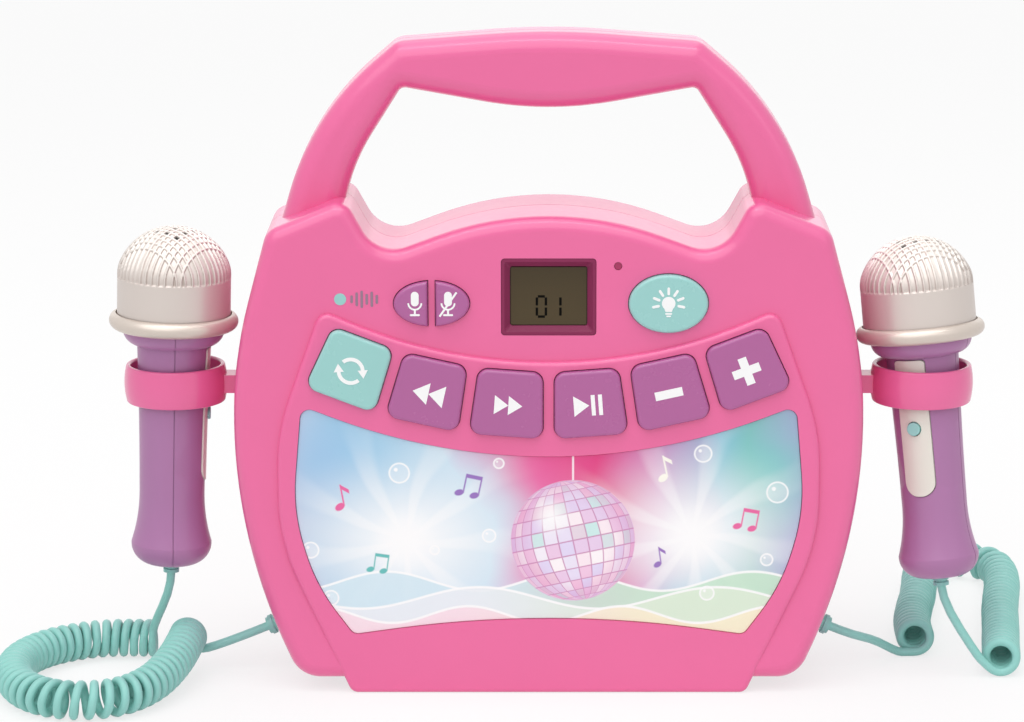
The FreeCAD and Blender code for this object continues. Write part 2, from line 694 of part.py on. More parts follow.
def front_shell():
    """Front moulding: wavy shell, plinth, raised bezel, openings, board posts and screw bosses."""
    hollow = plate(BODY, WALL_IN_Y, PART_Y, WALL)
    bezel = plate(BEZEL, FRONT_Y - BEZEL_PROUD, WALL_IN_Y)
    bezel = bezel.makeFillet(BEZEL_EDGE_R, edges_on_plane(bezel, FRONT_Y - BEZEL_PROUD))
    posts = both_sides([rod(x, z, BOARD_POST_R, WALL_IN_Y, BOARD_Y) for x, z in BOARD_POSTS])
    bosses = [rod(x, z, BOSS_R, WALL_IN_Y, PART_Y) for x, z in case_screw_places()]
    shell = fused([front_block().cut(hollow), bezel, plinth(WALL_IN_Y, PART_Y)] + posts + bosses)
    y0, y1 = FRONT_Y - 2 * BEZEL_PROUD, WALL_IN_Y + WALL
    cuts = [form(y0, y1, KEY_CLEARANCE) for form, face_y, middle in key_forms().values()]
    cuts.append(plate(PANEL, y0, y1))
    cuts.append(plate(rectangle(0, LCD_Z, LCD_WIDTH, LCD_HEIGHT, LCD_CORNER_R), y0, y1))
    cuts.append(rod(INDICATOR_X, INDICATOR_Z, INDICATOR_R + SCREW_CLEARANCE, y0, y1))
    holes = [rod(x, z, SCREW_R + SCREW_CLEARANCE, PART_Y - BOSS_BITE - OVERCUT, PART_Y)
             for x, z in case_screw_places()]
    groove = seam(BODY, PART_Y - SEAM_WIDTH, PART_Y)
    cuts.append(groove.cut(plinth(FRONT_Y, BACK_Y)))
    return shell.cut(cuts + holes + side_cuts()).removeSplitter()


def grille_slots():
    """Upright slots through the back wall in front of the speaker, within its cone."""
    reach = SPEAKER_R - SPEAKER_RIM - GRILLE_SLOT_WIDTH
    count = int(reach // GRILLE_SLOT_PITCH)
    slots = []
    for i in range(-count, count + 1):
        x = i * GRILLE_SLOT_PITCH
        height = 2 * math.sqrt(reach ** 2 - x ** 2) + GRILLE_SLOT_WIDTH
        shape = rectangle(x, SPEAKER_Z, GRILLE_SLOT_WIDTH, height, GRILLE_SLOT_WIDTH * 0.49)
        slots.append(plate(shape, BACK_IN_Y - OVERCUT, BACK_Y + OVERCUT))
    return slots


def screw_seat_y():
    """Plane that the case screws' heads bear on."""
    return PART_Y - BOSS_BITE + SCREW_LENGTH


def door_outline(grow=0.0):
    """Corners of the battery door."""
    return rectangle(0, TRAY_Z, 2 * (DOOR_HALF_WIDTH + grow), 2 * (DOOR_HALF_HEIGHT + grow), DOOR_CORNER_R)


def rear_shell():
    """Rear moulding: rounded shell, plinth, screw bosses, speaker slots, door and switch openings."""
    outside = rear_block(0.0, BACK_Y)
    bosses = [rod(x, z, BOSS_R, PART_Y, BACK_Y).common(outside) for x, z in case_screw_places()]
    shell = fused([outside.cut(rear_block(WALL, BACK_IN_Y)), plinth(PART_Y, BACK_Y)] + bosses)
    cuts = [rod(x, z, SCREW_R + SCREW_CLEARANCE, PART_Y, BACK_Y) for x, z in case_screw_places()]
    cuts += [rod(x, z, SCREW_HEAD_R + SCREW_CLEARANCE, screw_seat_y(), BACK_Y)
             for x, z in case_screw_places()]
    cuts.append(plate(door_outline(DOOR_CLEARANCE), BACK_IN_Y - OVERCUT, BACK_Y + OVERCUT))
    slot = rectangle(POWER_X, POWER_Z, POWER_SLOT_LENGTH, POWER_SLOT_HEIGHT, POWER_CORNER_R)
    cuts.append(plate(slot, BACK_IN_Y - OVERCUT, BACK_Y + OVERCUT))
    return shell.cut(cuts + grille_slots() + side_cuts()).removeSplitter()


def handle_half(front):
    """One half of the hollow carry handle, seated on the shoulders with its feet through them."""
    outer_y = PART_Y + (-1 if front else 1) * HANDLE_DEPTH / 2
    inner_y = outer_y + (1 if front else -1) * HANDLE_WALL
    solid = plate(HANDLE, min(outer_y, PART_Y), max(outer_y, PART_Y))
    solid = solid.makeFillet(HANDLE_EDGE_R, edges_on_plane(solid, outer_y))
    hollow = plate(HANDLE, min(inner_y, PART_Y), max(inner_y, PART_Y), HANDLE_WALL)
    seat = plate(BODY, FRONT_Y, BACK_Y).cut(tenons())
    half = solid.cut(hollow).cut(seat).removeSplitter()
    if front:
        half = half.cut(seam(HANDLE, PART_Y - SEAM_WIDTH, PART_Y))
    reach = 2 * BODY_HALF_WIDTH
    below = block(-reach, reach, FRONT_Y, BACK_Y, 0, min(t.BoundBox.ZMin for t in tenons()))
    return half.cut(below)


def case_screw(x, z, seat_y, length):
    """Screw along Y whose head bears on a plane."""
    return fused([rod(x, z, SCREW_R, seat_y - length, seat_y),
                  rod(x, z, SCREW_HEAD_R, seat_y, seat_y + SCREW_HEAD_HEIGHT)])


def case_screws():
    """Screws that hold the two shells together."""
    return Part.makeCompound([case_screw(x, z, screw_seat_y(), SCREW_LENGTH) for x, z in case_screw_places()])


# Picture panel and display

def light_panel():
    """Translucent picture panel with the flange that seats it behind the bezel."""
    face = plate(PANEL, FRONT_Y - BEZEL_PROUD + PANEL_RECESS, WALL_IN_Y, PANEL_CLEARANCE)
    flange = plate(PANEL, WALL_IN_Y, PANEL_BACK_Y, -PANEL_FLANGE)
    return fused([face, flange])


def led_places():
    """Middles of the lamps behind the panel."""
    return [(column * LED_SPACING, z) for z in LED_ROWS_Z for column in (-1, 0, 1)]


def light_box():
    """Reflector tray behind the picture panel, with holes for the lamps."""
    tray = plate(PANEL, PANEL_BACK_Y, LIGHT_BOX_BACK_Y, -PANEL_FLANGE)
    hollow = plate(PANEL, PANEL_BACK_Y, LIGHT_BOX_BACK_Y - LIGHT_BOX_WALL, LIGHT_BOX_WALL - PANEL_FLANGE)
    holes = [rod(x, z, LED_R + SWITCH_GAP, PANEL_BACK_Y, LIGHT_BOX_BACK_Y) for x, z in led_places()]
    return tray.cut([hollow] + holes)


def led_board():
    """Lamp board on the back of the reflector tray."""
    return plate(PANEL, LIGHT_BOX_BACK_Y, LIGHT_BOX_BACK_Y + BOARD_THICK, LED_BOARD_INSET)


def leds():
    """Domed lamps standing on their board."""
    lamps = []
    for x, z in led_places():
        stem = rod(x, z, LED_R, LIGHT_BOX_BACK_Y - LED_HEIGHT + LED_R, LIGHT_BOX_BACK_Y)
        dome = Part.makeSphere(LED_R, V(x, LIGHT_BOX_BACK_Y - LED_HEIGHT + LED_R, z))
        lamps.append(fused([stem, dome]))
    return Part.makeCompound(lamps)


def lcd_window():
    """Bevelled surround of the display, with the flange that seats it behind the wall."""
    clear = KEY_CLEARANCE
    outer = rectangle(0, LCD_Z, LCD_WIDTH - clear, LCD_HEIGHT - clear, LCD_CORNER_R)
    flange = rectangle(0, LCD_Z, LCD_WIDTH + 2 * LCD_FLANGE, LCD_HEIGHT + 2 * LCD_FLANGE, LCD_CORNER_R)
    solid = fused([plate(outer, FRONT_Y, WALL_IN_Y), plate(flange, WALL_IN_Y, WALL_IN_Y + LCD_FLANGE)])
    mouth = outline(outer, FRONT_Y, LCD_LIP)
    throat = outline(outer, FRONT_Y + LCD_RECESS, LCD_FRAME)
    bevel = Part.makeLoft([mouth, throat], True, True)
    through = plate(outer, FRONT_Y + LCD_RECESS, WALL_IN_Y + LCD_FLANGE, LCD_FRAME)
    return solid.cut([bevel, through]).removeSplitter()


def lcd_module():
    """Display glass on its block, from the surround back to the control board."""
    inner = rectangle(0, LCD_Z, LCD_WIDTH - 2 * LCD_FRAME - 3 * KEY_CLEARANCE,
                      LCD_HEIGHT - 2 * LCD_FRAME - 3 * KEY_CLEARANCE, LCD_GLASS_R)
    outer = rectangle(0, LCD_Z, LCD_WIDTH, LCD_HEIGHT, LCD_GLASS_R)
    back_y = WALL_IN_Y + LCD_FLANGE
    return fused([plate(inner, FRONT_Y + LCD_RECESS, back_y), plate(outer, back_y, BOARD_Y)])


def indicator_lens():
    """Small lamp lens beside the display, with a light pipe back to the board."""
    lens = rod(INDICATOR_X, INDICATOR_Z, INDICATOR_R, FRONT_Y + INDICATOR_RECESS, WALL_IN_Y)
    return fused([lens, rod(INDICATOR_X, INDICATOR_Z, INDICATOR_R + KEY_FLANGE, WALL_IN_Y, BOARD_Y)])


def control_board():
    """Board behind the keys, clear of the lamp tray along the fan."""
    radius = PANEL_TOP_ARC - PANEL_FLANGE - BOARD_PANEL_MARGIN
    sheet = block(-BOARD_HALF_WIDTH, BOARD_HALF_WIDTH, BOARD_Y, BOARD_Y + BOARD_THICK, 0, BOARD_TOP_Z)
    return sheet.common(rod(0, FAN_Z, radius, BOARD_Y, BOARD_Y + BOARD_THICK))


def tact_switches():
    """One push switch on the board behind each key."""
    half = SWITCH_SIZE / 2
    return Part.makeCompound([block(x - half, x + half, SWITCH_Y, BOARD_Y, z - half, z + half)
                              for form, face_y, (x, z) in key_forms().values()])


# Speaker, batteries and power switch

def along_back(shape, x, z):
    """A turned shape stood on the back wall's inside, its axis pointing forward."""
    shape.rotate(V(0, 0, 0), X_AXIS, 90)
    shape.translate(V(x, BACK_IN_Y, z))
    return shape


def speaker_frame():
    """Rim and basket of the speaker on the back wall."""
    r, m, t, d = SPEAKER_R, SPEAKER_MAGNET_R, SPEAKER_RIM_THICK, SPEAKER_DEPTH
    rim = r - SPEAKER_RIM
    return along_back(revolved([(rim, 0), (r, 0), (r, t), (rim + t, t), (m, d), (m / 2, d),
                                (m / 2, d - t), (m - t / 2, d - t), (rim, t)]), 0, SPEAKER_Z)


def speaker_cone():
    """Paper cone and dust cap inside the basket."""
    rim, m, t, d = SPEAKER_R - SPEAKER_RIM, SPEAKER_MAGNET_R, SPEAKER_SKIN, SPEAKER_DEPTH
    low = d - SPEAKER_RIM_THICK - t
    edge = rim - t / 2
    cone = [(0, low - 2 * t), (m / 2, low - t), (edge, t), (edge, 2 * t), (m / 2, low),
            (m / 2, low + t), (0, low + t)]
    return along_back(revolved(cone), 0, SPEAKER_Z)


def speaker_magnet():
    """Magnet cup on the back of the basket."""
    cup = Part.makeCylinder(SPEAKER_MAGNET_R, SPEAKER_MAGNET_THICK, V(0, 0, SPEAKER_DEPTH))
    return along_back(cup, 0, SPEAKER_Z)


def cell_places():
    """Middles of the four cells, (x, z), and the way each one points."""
    x = (CELL_LENGTH + CELL_CAP_HEIGHT) / 2
    rise = CELL_R + CELL_GAP / 2
    return [(side * x, TRAY_Z + row * rise, row) for row in (-1, 1) for side in (-1, 1)]


def battery_cells():
    """Four cells lying across the tray, two by two."""
    y = TRAY_FLOOR_Y + CELL_R + CELL_GAP
    cells = []
    for x, z, way in cell_places():
        foot = V(x - way * (CELL_LENGTH + CELL_CAP_HEIGHT) / 2, y, z)
        body = Part.makeCylinder(CELL_R, CELL_LENGTH, foot, X_AXIS * way)
        cap = Part.makeCylinder(CELL_CAP_R, CELL_CAP_HEIGHT, foot + X_AXIS * way * CELL_LENGTH, X_AXIS * way)
        cells.append(fused([body, cap]))
    return Part.makeCompound(cells)


def battery_contacts():
    """Contact plates at the ends of the two rows of cells."""
    y = TRAY_FLOOR_Y + CELL_R + CELL_GAP
    x = CELL_LENGTH + CELL_CAP_HEIGHT
    half = CONTACT_HALF_WIDTH
    plates = [block(x, x + CONTACT_THICK, y - half, y + half, z - half, z + half)
              for z in (TRAY_Z - CELL_R, TRAY_Z + CELL_R)]
    return Part.makeCompound(both_sides(plates))


def battery_tray():
    """Open tray for the cells, whose rim is the ledge that the door sits on."""
    w, h = DOOR_HALF_WIDTH - TRAY_LEDGE, DOOR_HALF_HEIGHT - TRAY_WALL
    hollow = rectangle(0, TRAY_Z, 2 * w, 2 * h, 0.0)
    case = rectangle(0, TRAY_Z, 2 * (w + TRAY_WALL), 2 * (h + TRAY_WALL), 0.0)
    rim = plate(door_outline(2 * TRAY_WALL), BACK_IN_Y - 2 * TRAY_WALL, BACK_IN_Y)
    solid = fused([plate(case, TRAY_FLOOR_Y - TRAY_WALL, BACK_IN_Y), rim])
    cuts = [plate(hollow, TRAY_FLOOR_Y, BACK_IN_Y)]
    cuts += [rod(x, z, SCREW_R + SCREW_CLEARANCE, BACK_IN_Y - 2 * TRAY_WALL, BACK_IN_Y)
             for x, z in door_screw_places()]
    return solid.cut(cuts)


def door_screw_places():
    """Middles of the two battery door screws, over the tray's ledge."""
    return [(side * (DOOR_HALF_WIDTH - TRAY_LEDGE / 2), TRAY_Z) for side in (-1, 1)]


def battery_door():
    """Door flush with the back, with recessed screw holes."""
    door = plate(door_outline(), BACK_IN_Y, BACK_Y)
    cuts = []
    for x, z in door_screw_places():
        cuts.append(rod(x, z, SCREW_R + SCREW_CLEARANCE, BACK_IN_Y, BACK_Y))
        cuts.append(rod(x, z, SCREW_HEAD_R + SCREW_CLEARANCE, BACK_Y - DOOR_SCREW_RECESS, BACK_Y))
    return door.cut(cuts)


def battery_door_screws():
    """Short screws that hold the battery door."""
    seat = BACK_Y - DOOR_SCREW_RECESS
    length = WALL - DOOR_SCREW_RECESS + TRAY_WALL
    head = DOOR_SCREW_RECESS
    screws = [fused([rod(x, z, SCREW_R, seat - length, seat), rod(x, z, SCREW_HEAD_R, seat, seat + head)])
              for x, z in door_screw_places()]
    return Part.makeCompound(screws)


def power_slider():
    """Thumb piece in its slot, at the off end, on a slide plate behind the wall."""
    length = POWER_SLOT_LENGTH - POWER_TRAVEL - 2 * POWER_CLEARANCE
    height = POWER_SLOT_HEIGHT - 2 * POWER_CLEARANCE
    x = POWER_X - POWER_TRAVEL / 2
    seat = BACK_IN_Y - POWER_CLEARANCE
    thumb = plate(rectangle(x, POWER_Z, length, height, POWER_CORNER_R), seat, BACK_Y + POWER_PROUD)
    slide = rectangle(x, POWER_Z, length + 2 * POWER_TRAVEL, height + 4 * POWER_CLEARANCE, POWER_CORNER_R)
    return fused([thumb, plate(slide, seat - WALL / 2, seat)])


def power_switch():
    """Switch body that the slide plate works, held on two posts off the back wall."""
    y1 = BACK_IN_Y - POWER_CLEARANCE * 2 - WALL / 2
    shape = rectangle(POWER_X, POWER_Z, POWER_BODY_LENGTH, 2 * POWER_SLOT_HEIGHT, POWER_CORNER_R)
    case = plate(shape, y1 - POWER_BODY_DEPTH, y1)
    post_x = POWER_BODY_LENGTH / 2 - SCREW_HEAD_R
    posts = [rod(POWER_X + side * post_x, POWER_Z, SCREW_HEAD_R, y1, BACK_IN_Y) for side in (-1, 1)]
    return fused([case] + posts)


# Rings, glands and cords

def mic_ring():
    """Swelling ring for the right microphone, with the stub and flange that the shells clamp."""
    r0, r1, h, e = RING_BORE_R, RING_BORE_R + RING_WALL, RING_HEIGHT / 2, RING_EDGE_R
    q = e * (1 - math.sqrt(0.5))
    band = revolved(
        [(r0 + e, -h), (r1 - e, -h), (r1, e - h), (r1, h - e),
         (r1 - e, h), (r0 + e, h), (r0, h - e), (r0, e - h)],
        {1: (r1 - q, q - h), 2: (r1 + RING_SWELL, 0.0), 3: (r1 - q, h - q),
         5: (r0 + q, h - q), 7: (r0 + q, q - h)})
    band.translate(V(RING_X, PART_Y, RING_Z))
    inner_x = ring_flange_x()
    d, t = RING_STUB_DEPTH / 2 + RING_FLANGE, RING_STUB_HEIGHT / 2 + RING_FLANGE
    flange = block(inner_x - RING_FLANGE_THICK, inner_x, PART_Y - d, PART_Y + d, RING_Z - t, RING_Z + t)
    bar = ring_stub(0.0, RING_X)
    bore = Part.makeCylinder(RING_BORE_R, 2 * RING_HEIGHT, V(RING_X, PART_Y, RING_Z - RING_HEIGHT))
    return fused([band, flange, bar.cut(bore)])


def ribbed(radius, length, ribs):
    """Round sleeve along Z with ribs around it."""
    pitch = length / ribs
    points = [(0.0, 0.0)]
    for i in range(ribs):
        z = i * pitch
        points += [(radius, z), (radius, z + RIB_SHARE * pitch),
                   (radius - RIB_DEPTH, z + RIB_SHARE * pitch), (radius - RIB_DEPTH, z + pitch)]
    return revolved(points + [(0.0, length)])


def turned_to(shape, base, direction):
    """A shape along Z from the origin, moved to a base point and direction."""
    placed = shape.copy()
    placed.Placement = FreeCAD.Placement(base, FreeCAD.Rotation(Z_AXIS, direction))
    return placed


def cord_gland():
    """Ribbed gland in the right side's lower corner, with its neck and inner flange."""
    point, normal = side_point(GLAND_Z)
    sleeve = ribbed(GLAND_R, GLAND_LENGTH, GLAND_RIBS)
    depth = WALL + 2 * GLAND_CLEARANCE
    neck = Part.makeCylinder(GLAND_NECK_R, depth, V(0, 0, -depth))
    flange = Part.makeCylinder(GLAND_FLANGE_R, GLAND_FLANGE_THICK, V(0, 0, -depth - GLAND_FLANGE_THICK))
    gland = fused([sleeve, neck, flange])
    return turned_to(gland, point + normal * GLAND_CLEARANCE, normal)


def gland_mouth():
    """Point where the right cord leaves its gland, and its direction."""
    point, normal = side_point(GLAND_Z)
    return point + normal * (GLAND_CLEARANCE + GLAND_LENGTH), normal


class Route:
    """A path of straight runs and the largest tangent arcs that its points allow."""

    def __init__(self, points):
        self.runs = []
        self.radii = []
        last = points[0]
        for before, corner, after in zip(points, points[1:], points[2:]):
            way_in = (corner - before).normalize()
            way_out = (after - corner).normalize()
            half = way_in.getAngle(way_out) / 2
            reach = ROUTE_ARC_SHARE * min(corner.distanceToPoint(before), corner.distanceToPoint(after))
            radius = reach / math.tan(half)
            self.radii.append(radius)
            self.add_line(last, corner - way_in * reach)
            inside = (way_out - way_in).normalize()
            self.add_arc(corner - way_in * reach, way_in, inside, radius, 2 * half)
            last = corner + way_out * reach
        self.add_line(last, points[-1])
        self.length = sum(run["length"] for run in self.runs)

    def add_line(self, start, end):
        """Append a straight run."""
        way = (end - start).normalize()
        self.runs.append({"length": start.distanceToPoint(end), "turn": 0.0, "start": start, "way": way})

    def add_arc(self, start, way, inside, radius, turn):
        """Append an arc that leaves start along way and bends about a centre at right angles to it."""
        toward = (inside - way * inside.dot(way)).normalize()
        self.runs.append({"length": radius * turn, "turn": turn, "start": start, "way": way,
                          "centre": start + toward * radius, "toward": toward, "radius": radius})

    def at(self, distance):
        """Point and direction at a distance along the path."""
        for run in self.runs:
            if distance <= run["length"] or run is self.runs[-1]:
                break
            distance -= run["length"]
        if not run["turn"]:
            return run["start"] + run["way"] * distance, run["way"]
        angle = distance / run["radius"]
        point = (run["centre"] - run["toward"] * run["radius"] * math.cos(angle)
                 + run["way"] * run["radius"] * math.sin(angle))
        return point, run["way"] * math.cos(angle) + run["toward"] * math.sin(angle)

    def wire(self):
        """The path as one wire of lines and arcs."""
        edges = []
        distance = 0.0
        for run in self.runs:
            start = self.at(distance)[0]
            middle = self.at(distance + run["length"] / 2)[0]
            distance += run["length"]
            end = self.at(distance)[0]
            edges.append(Part.Arc(start, middle, end).toShape() if run["turn"]
                         else Part.LineSegment(start, end).toShape())
        return Part.Wire(edges)


def swept(wire, start, way):
    """Round cord along a wire."""
    circle = Part.Circle(start, way, CORD_R)
    sweep = Part.BRepOffsetAPI.MakePipeShell(wire)
    sweep.add(Part.Wire(circle.toShape()))
    sweep.build()
    sweep.makeSolid()
    return sweep.shape()


def report_cord(name, solid, length, text):
    """Print a cord's volume beside its section times its length."""
    expected = math.pi * CORD_R ** 2 * length
    print(name, "volume", round(solid.Volume), "section x length", round(expected), text)


def lead(name, points):
    """Free stretch of cord through its points."""
    route = Route(points)
    solid = swept(route.wire(), points[0], (points[1] - points[0]).normalize())
    report_cord(name, solid, route.length, "radii " + ", ".join(f"{r:.1f}" for r in route.radii))
    return solid


class Curls:
    """Curled stretch along a route on the floor; the curls keep a steady pitch inside its bends."""

    def __init__(self, points, turns, start_deg):
        height = FLOOR_GAP + CORD_R + CURL_R
        self.route = Route([V(x, y, height) for x, y in points])
        outer = CURL_R + CORD_R
        self.total = 2 * math.pi * turns
        self.start = math.radians(start_deg)
        bent = sum(run["turn"] for run in self.route.runs) * outer
        self.rate = self.total / (self.route.length - bent)
        self.outer = outer

    def distance(self, phase):
        """Distance along the route at a phase of the curls."""
        covered = 0.0
        for run in self.route.runs:
            share = self.rate * (run["length"] - run["turn"] * self.outer)
            if phase <= share or run is self.route.runs[-1]:
                return covered + run["length"] * phase / share
            phase -= share
            covered += run["length"]

    def point(self, phase):
        """Point of the cord's middle at a phase."""
        middle, way = self.route.at(self.distance(phase))
        side = way.cross(Z_AXIS).normalize()
        angle = self.start + phase
        return middle + side * CURL_R * math.cos(angle) + Z_AXIS * CURL_R * math.sin(angle)

    def way(self, phase):
        """Direction of the cord at a phase."""
        step = 1e-3
        low, high = max(phase - step, 0.0), min(phase + step, self.total)
        return (self.point(high) - self.point(low)).normalize()

    def end(self, last):
        """Point and outward direction at an end, one cord diameter out from the curls."""
        phase = self.total if last else 0.0
        way = self.way(phase) if last else -self.way(phase)
        return self.point(phase) + way * 2 * CORD_R, way

    def solid(self, name):
        """The curls as one tube on half-turn biarcs, with a straight run at each end."""
        steps = math.ceil(self.total / math.pi)
        phases = [self.total * i / steps for i in range(steps + 1)]
        first, last = self.end(False)[0], self.end(True)[0]
        edges = [Part.LineSegment(first, self.point(0.0)).toShape()]
        for low, high in zip(phases, phases[1:]):
            edges += biarc(self.point(low), self.way(low), self.point(high), self.way(high))
        edges.append(Part.LineSegment(self.point(self.total), last).toShape())
        wire = Part.Wire(edges)
        solid = swept(wire, first, self.way(0.0))
        report_cord(name, solid, wire.Length, f"least gap {self.least_gap():.2f}")
        return solid

    def least_gap(self):
        """Least gap between neighbouring curls, on points along the cord."""
        per_turn = 24
        count = int(per_turn * self.total / (2 * math.pi))
        points = [self.point(2 * math.pi * i / per_turn) for i in range(count + 1)]
        ahead = range(per_turn // 2, per_turn * 3 // 2)
        nearest = min(points[i].distanceToPoint(points[i + j])
                      for i in range(count) for j in ahead if i + j <= count)
        return nearest - 2 * CORD_R


def biarc(p0, t0, p1, t1):
    """Two tangent arcs from a point and direction to another."""
    chord = p1 - p0
    a = 2 * (t0.dot(t1) - 1)
    b = -2 * chord.dot(t0 + t1)
    d = (-b - math.sqrt(b * b - 4 * a * chord.dot(chord))) / (2 * a)
    corners = (p0 + t0 * d, p1 - t1 * d)
    joint = (corners[0] + corners[1]) * 0.5
    arcs = []
    for start, corner, end in ((p0, corners[0], joint), (joint, corners[1], p1)):
        middle = (start + end) * 0.5
        height = corner.distanceToPoint(middle)
        cosine = end.distanceToPoint(start) / 2 / d
        radius = d * cosine / math.sqrt(1 - cosine ** 2)
        apex = middle + (corner - middle) * (radius * (1 - cosine) / height)
        arcs.append(Part.Arc(start, apex, end).toShape())
    return arcs


# Microphones

def collar_base():
    """Height of the collar on the handle's bowl."""
    return MIC_HANDLE_LENGTH + MIC_BOWL_HEIGHT


def head_base():
    """Height of the head's foot, sunk into the collar's groove."""
    return collar_base() + COLLAR_HEIGHT - COLLAR_GROOVE_DEPTH


def mic_handle_profile(grow=0.0):
    """Solid of revolution of the microphone handle and its bowl, grown or shrunk by a radius."""
    foot = (MIC_FOOT_R + grow, 0.0)
    flare = (MIC_FLARE_R + grow, MIC_FLARE_Z)
    waist = (MIC_WAIST_R + grow, MIC_WAIST_Z)
    neck = (MIC_NECK_R + grow, MIC_HANDLE_LENGTH)
    ledge = (neck[0] + MIC_BOWL_LEDGE, MIC_HANDLE_LENGTH)
    rim = (MIC_BOWL_R + grow, collar_base())
    points = [(0.0, 0.0), foot, flare, waist, neck, ledge, rim, (0.0, collar_base())]
    bulge = {1: (flare[0] - MIC_FOOT_BULGE, MIC_FOOT_BULGE_SHARE * MIC_FLARE_Z),
             2: (waist[0] + MIC_WAIST_SHARE * (flare[0] - waist[0]), (MIC_FLARE_Z + MIC_WAIST_Z) / 2),
             3: ((waist[0] + neck[0]) / 2 - MIC_SIDE_HOLLOW, (MIC_WAIST_Z + MIC_HANDLE_LENGTH) / 2),
             5: ((ledge[0] + rim[0]) / 2 + MIC_BOWL_OUT, (ledge[1] + rim[1]) / 2 - MIC_BOWL_DOWN)}
    return revolved(points, bulge)


def mic_radius(z):
    """Radius of the handle's upper, straight part."""
    taper = (z - MIC_WAIST_Z) / (MIC_HANDLE_LENGTH - MIC_WAIST_Z)
    return MIC_WAIST_R + taper * (MIC_NECK_R - MIC_WAIST_R)


def strip_form(grow, low, high):
    """Band around the handle between two depths, within the strip's outline on its front."""
    top = MIC_HANDLE_LENGTH - STRIP_TOP_MARGIN + grow
    bottom = MIC_HANDLE_LENGTH - STRIP_TOP_MARGIN - STRIP_LENGTH - grow
    w = STRIP_WIDTH / 2 + grow
    foot_r = STRIP_FOOT_SHARE * w
    corners = [(-w, bottom, foot_r), (w, bottom, foot_r), (w, top, STRIP_CORNER_R), (-w, top, STRIP_CORNER_R)]
    band = mic_handle_profile(high).cut(mic_handle_profile(low))
    return band.common(plate(corners, -2 * MIC_FLARE_R, 0.0))


def button_rod(radius, y0, y1):
    """Round bar along Y at the microphone's button."""
    return rod(0, MIC_BUTTON_Z, radius, y0, y1)


def mic_handle_half(front):
    """Half of the microphone's handle; the front half takes the strip, the button and the seam's groove."""
    reach = 2 * MIC_FLARE_R
    y0, y1 = (-reach, 0.0) if front else (0.0, reach)
    half = mic_handle_profile().common(block(-reach, reach, y0, y1, 0, collar_base()))
    bore = Part.makeCylinder(MIC_BORE_R, collar_base(), V(0, 0, MIC_FLOOR))
    cuts = [bore, Part.makeCylinder(CORD_R + GLAND_CLEARANCE, 2 * MIC_FLOOR, V(0, 0, -MIC_FLOOR))]
    if front:
        cuts.append(strip_form(STRIP_CLEARANCE, -STRIP_SINK - STRIP_CLEARANCE, 3 * STRIP_PROUD))
        cuts.append(button_rod(MIC_BUTTON_R + MIC_BUTTON_CLEARANCE, -reach, 0.0))
        skin = mic_handle_profile(SEAM_DEPTH).cut(mic_handle_profile(-SEAM_DEPTH))
        cuts.append(skin.common(block(-reach, reach, -SEAM_WIDTH, 0.0, 0, collar_base())))
    return half.cut(cuts)


def mic_strip():
    """Pale strip let into the front of the handle, with the button's hole."""
    hole = button_rod(MIC_BUTTON_R + MIC_BUTTON_CLEARANCE, -2 * MIC_FLARE_R, 0.0)
    return strip_form(0.0, -STRIP_SINK, STRIP_PROUD).cut(hole)


def mic_button():
    """Button through the strip, with its flange inside the handle's bore."""
    surface = mic_radius(MIC_BUTTON_Z)
    flange_r = MIC_BUTTON_R + MIC_BUTTON_FLANGE
    seat = math.sqrt(MIC_BORE_R ** 2 - flange_r ** 2) - KEY_SEAT_GAP
    cap = button_rod(MIC_BUTTON_R, -surface - STRIP_PROUD - MIC_BUTTON_PROUD, -seat)
    cap = cap.makeFillet(MIC_BUTTON_PROUD / 2, edges_on_plane(cap, -surface - STRIP_PROUD - MIC_BUTTON_PROUD))
    return fused([cap, button_rod(flange_r, -seat, -seat + MIC_BUTTON_FLANGE_THICK)])


def mic_collar():
    """Metal collar: a rounded ring about a plate, with a groove that the head stands in."""
    lip = HEAD_R + COLLAR_GROOVE
    low, high = collar_base(), collar_base() + COLLAR_HEIGHT
    points = [(0.0, low), (lip, low), (lip, high), (lip, head_base()), (0.0, head_base())]
    return revolved(points, {1: (COLLAR_R, (low + high) / 2)})


def dome_form(skin, foot=0.0):
    """Solid of the head inside a skin, above a foot: cylinder, rounded shoulder and a crown tangent to it."""
    base, shoulder = head_base() + foot, head_base() + HEAD_CYLINDER
    radius, turn, rise = HEAD_R - skin, HEAD_SHOULDER_R - skin, HEAD_DOME - skin
    crown = ((radius - turn) ** 2 + rise ** 2 - turn ** 2) / (2 * (rise - turn))
    low, high = (radius - turn, shoulder), (0.0, shoulder + rise - crown)
    angle = math.atan2(low[1] - high[1], low[0])

    def on_arc(centre, size, turn_to):
        return centre[0] + size * math.cos(turn_to), centre[1] + size * math.sin(turn_to)

    points = [(0.0, base), (radius, base), (radius, shoulder), on_arc(low, turn, angle),
              (0.0, shoulder + rise)]
    top = on_arc(high, crown, (angle + math.pi / 2) / 2)
    return revolved(points, {2: on_arc(low, turn, angle / 2), 3: top})


def lattice_cells():
    """Columns and rows of the pockets that meet the head, counted from its axis."""
    count = int(HEAD_R // LATTICE_PITCH) + 1
    steps = range(-count, count + 1)
    reach = HEAD_R - LATTICE_DEPTH / 2
    half = (LATTICE_PITCH - LATTICE_RIB) / 2
    near = {i: max(abs(i) * LATTICE_PITCH - half, 0.0) for i in steps}
    return [(i, j) for i in steps for j in steps if math.hypot(near[i], near[j]) < reach]


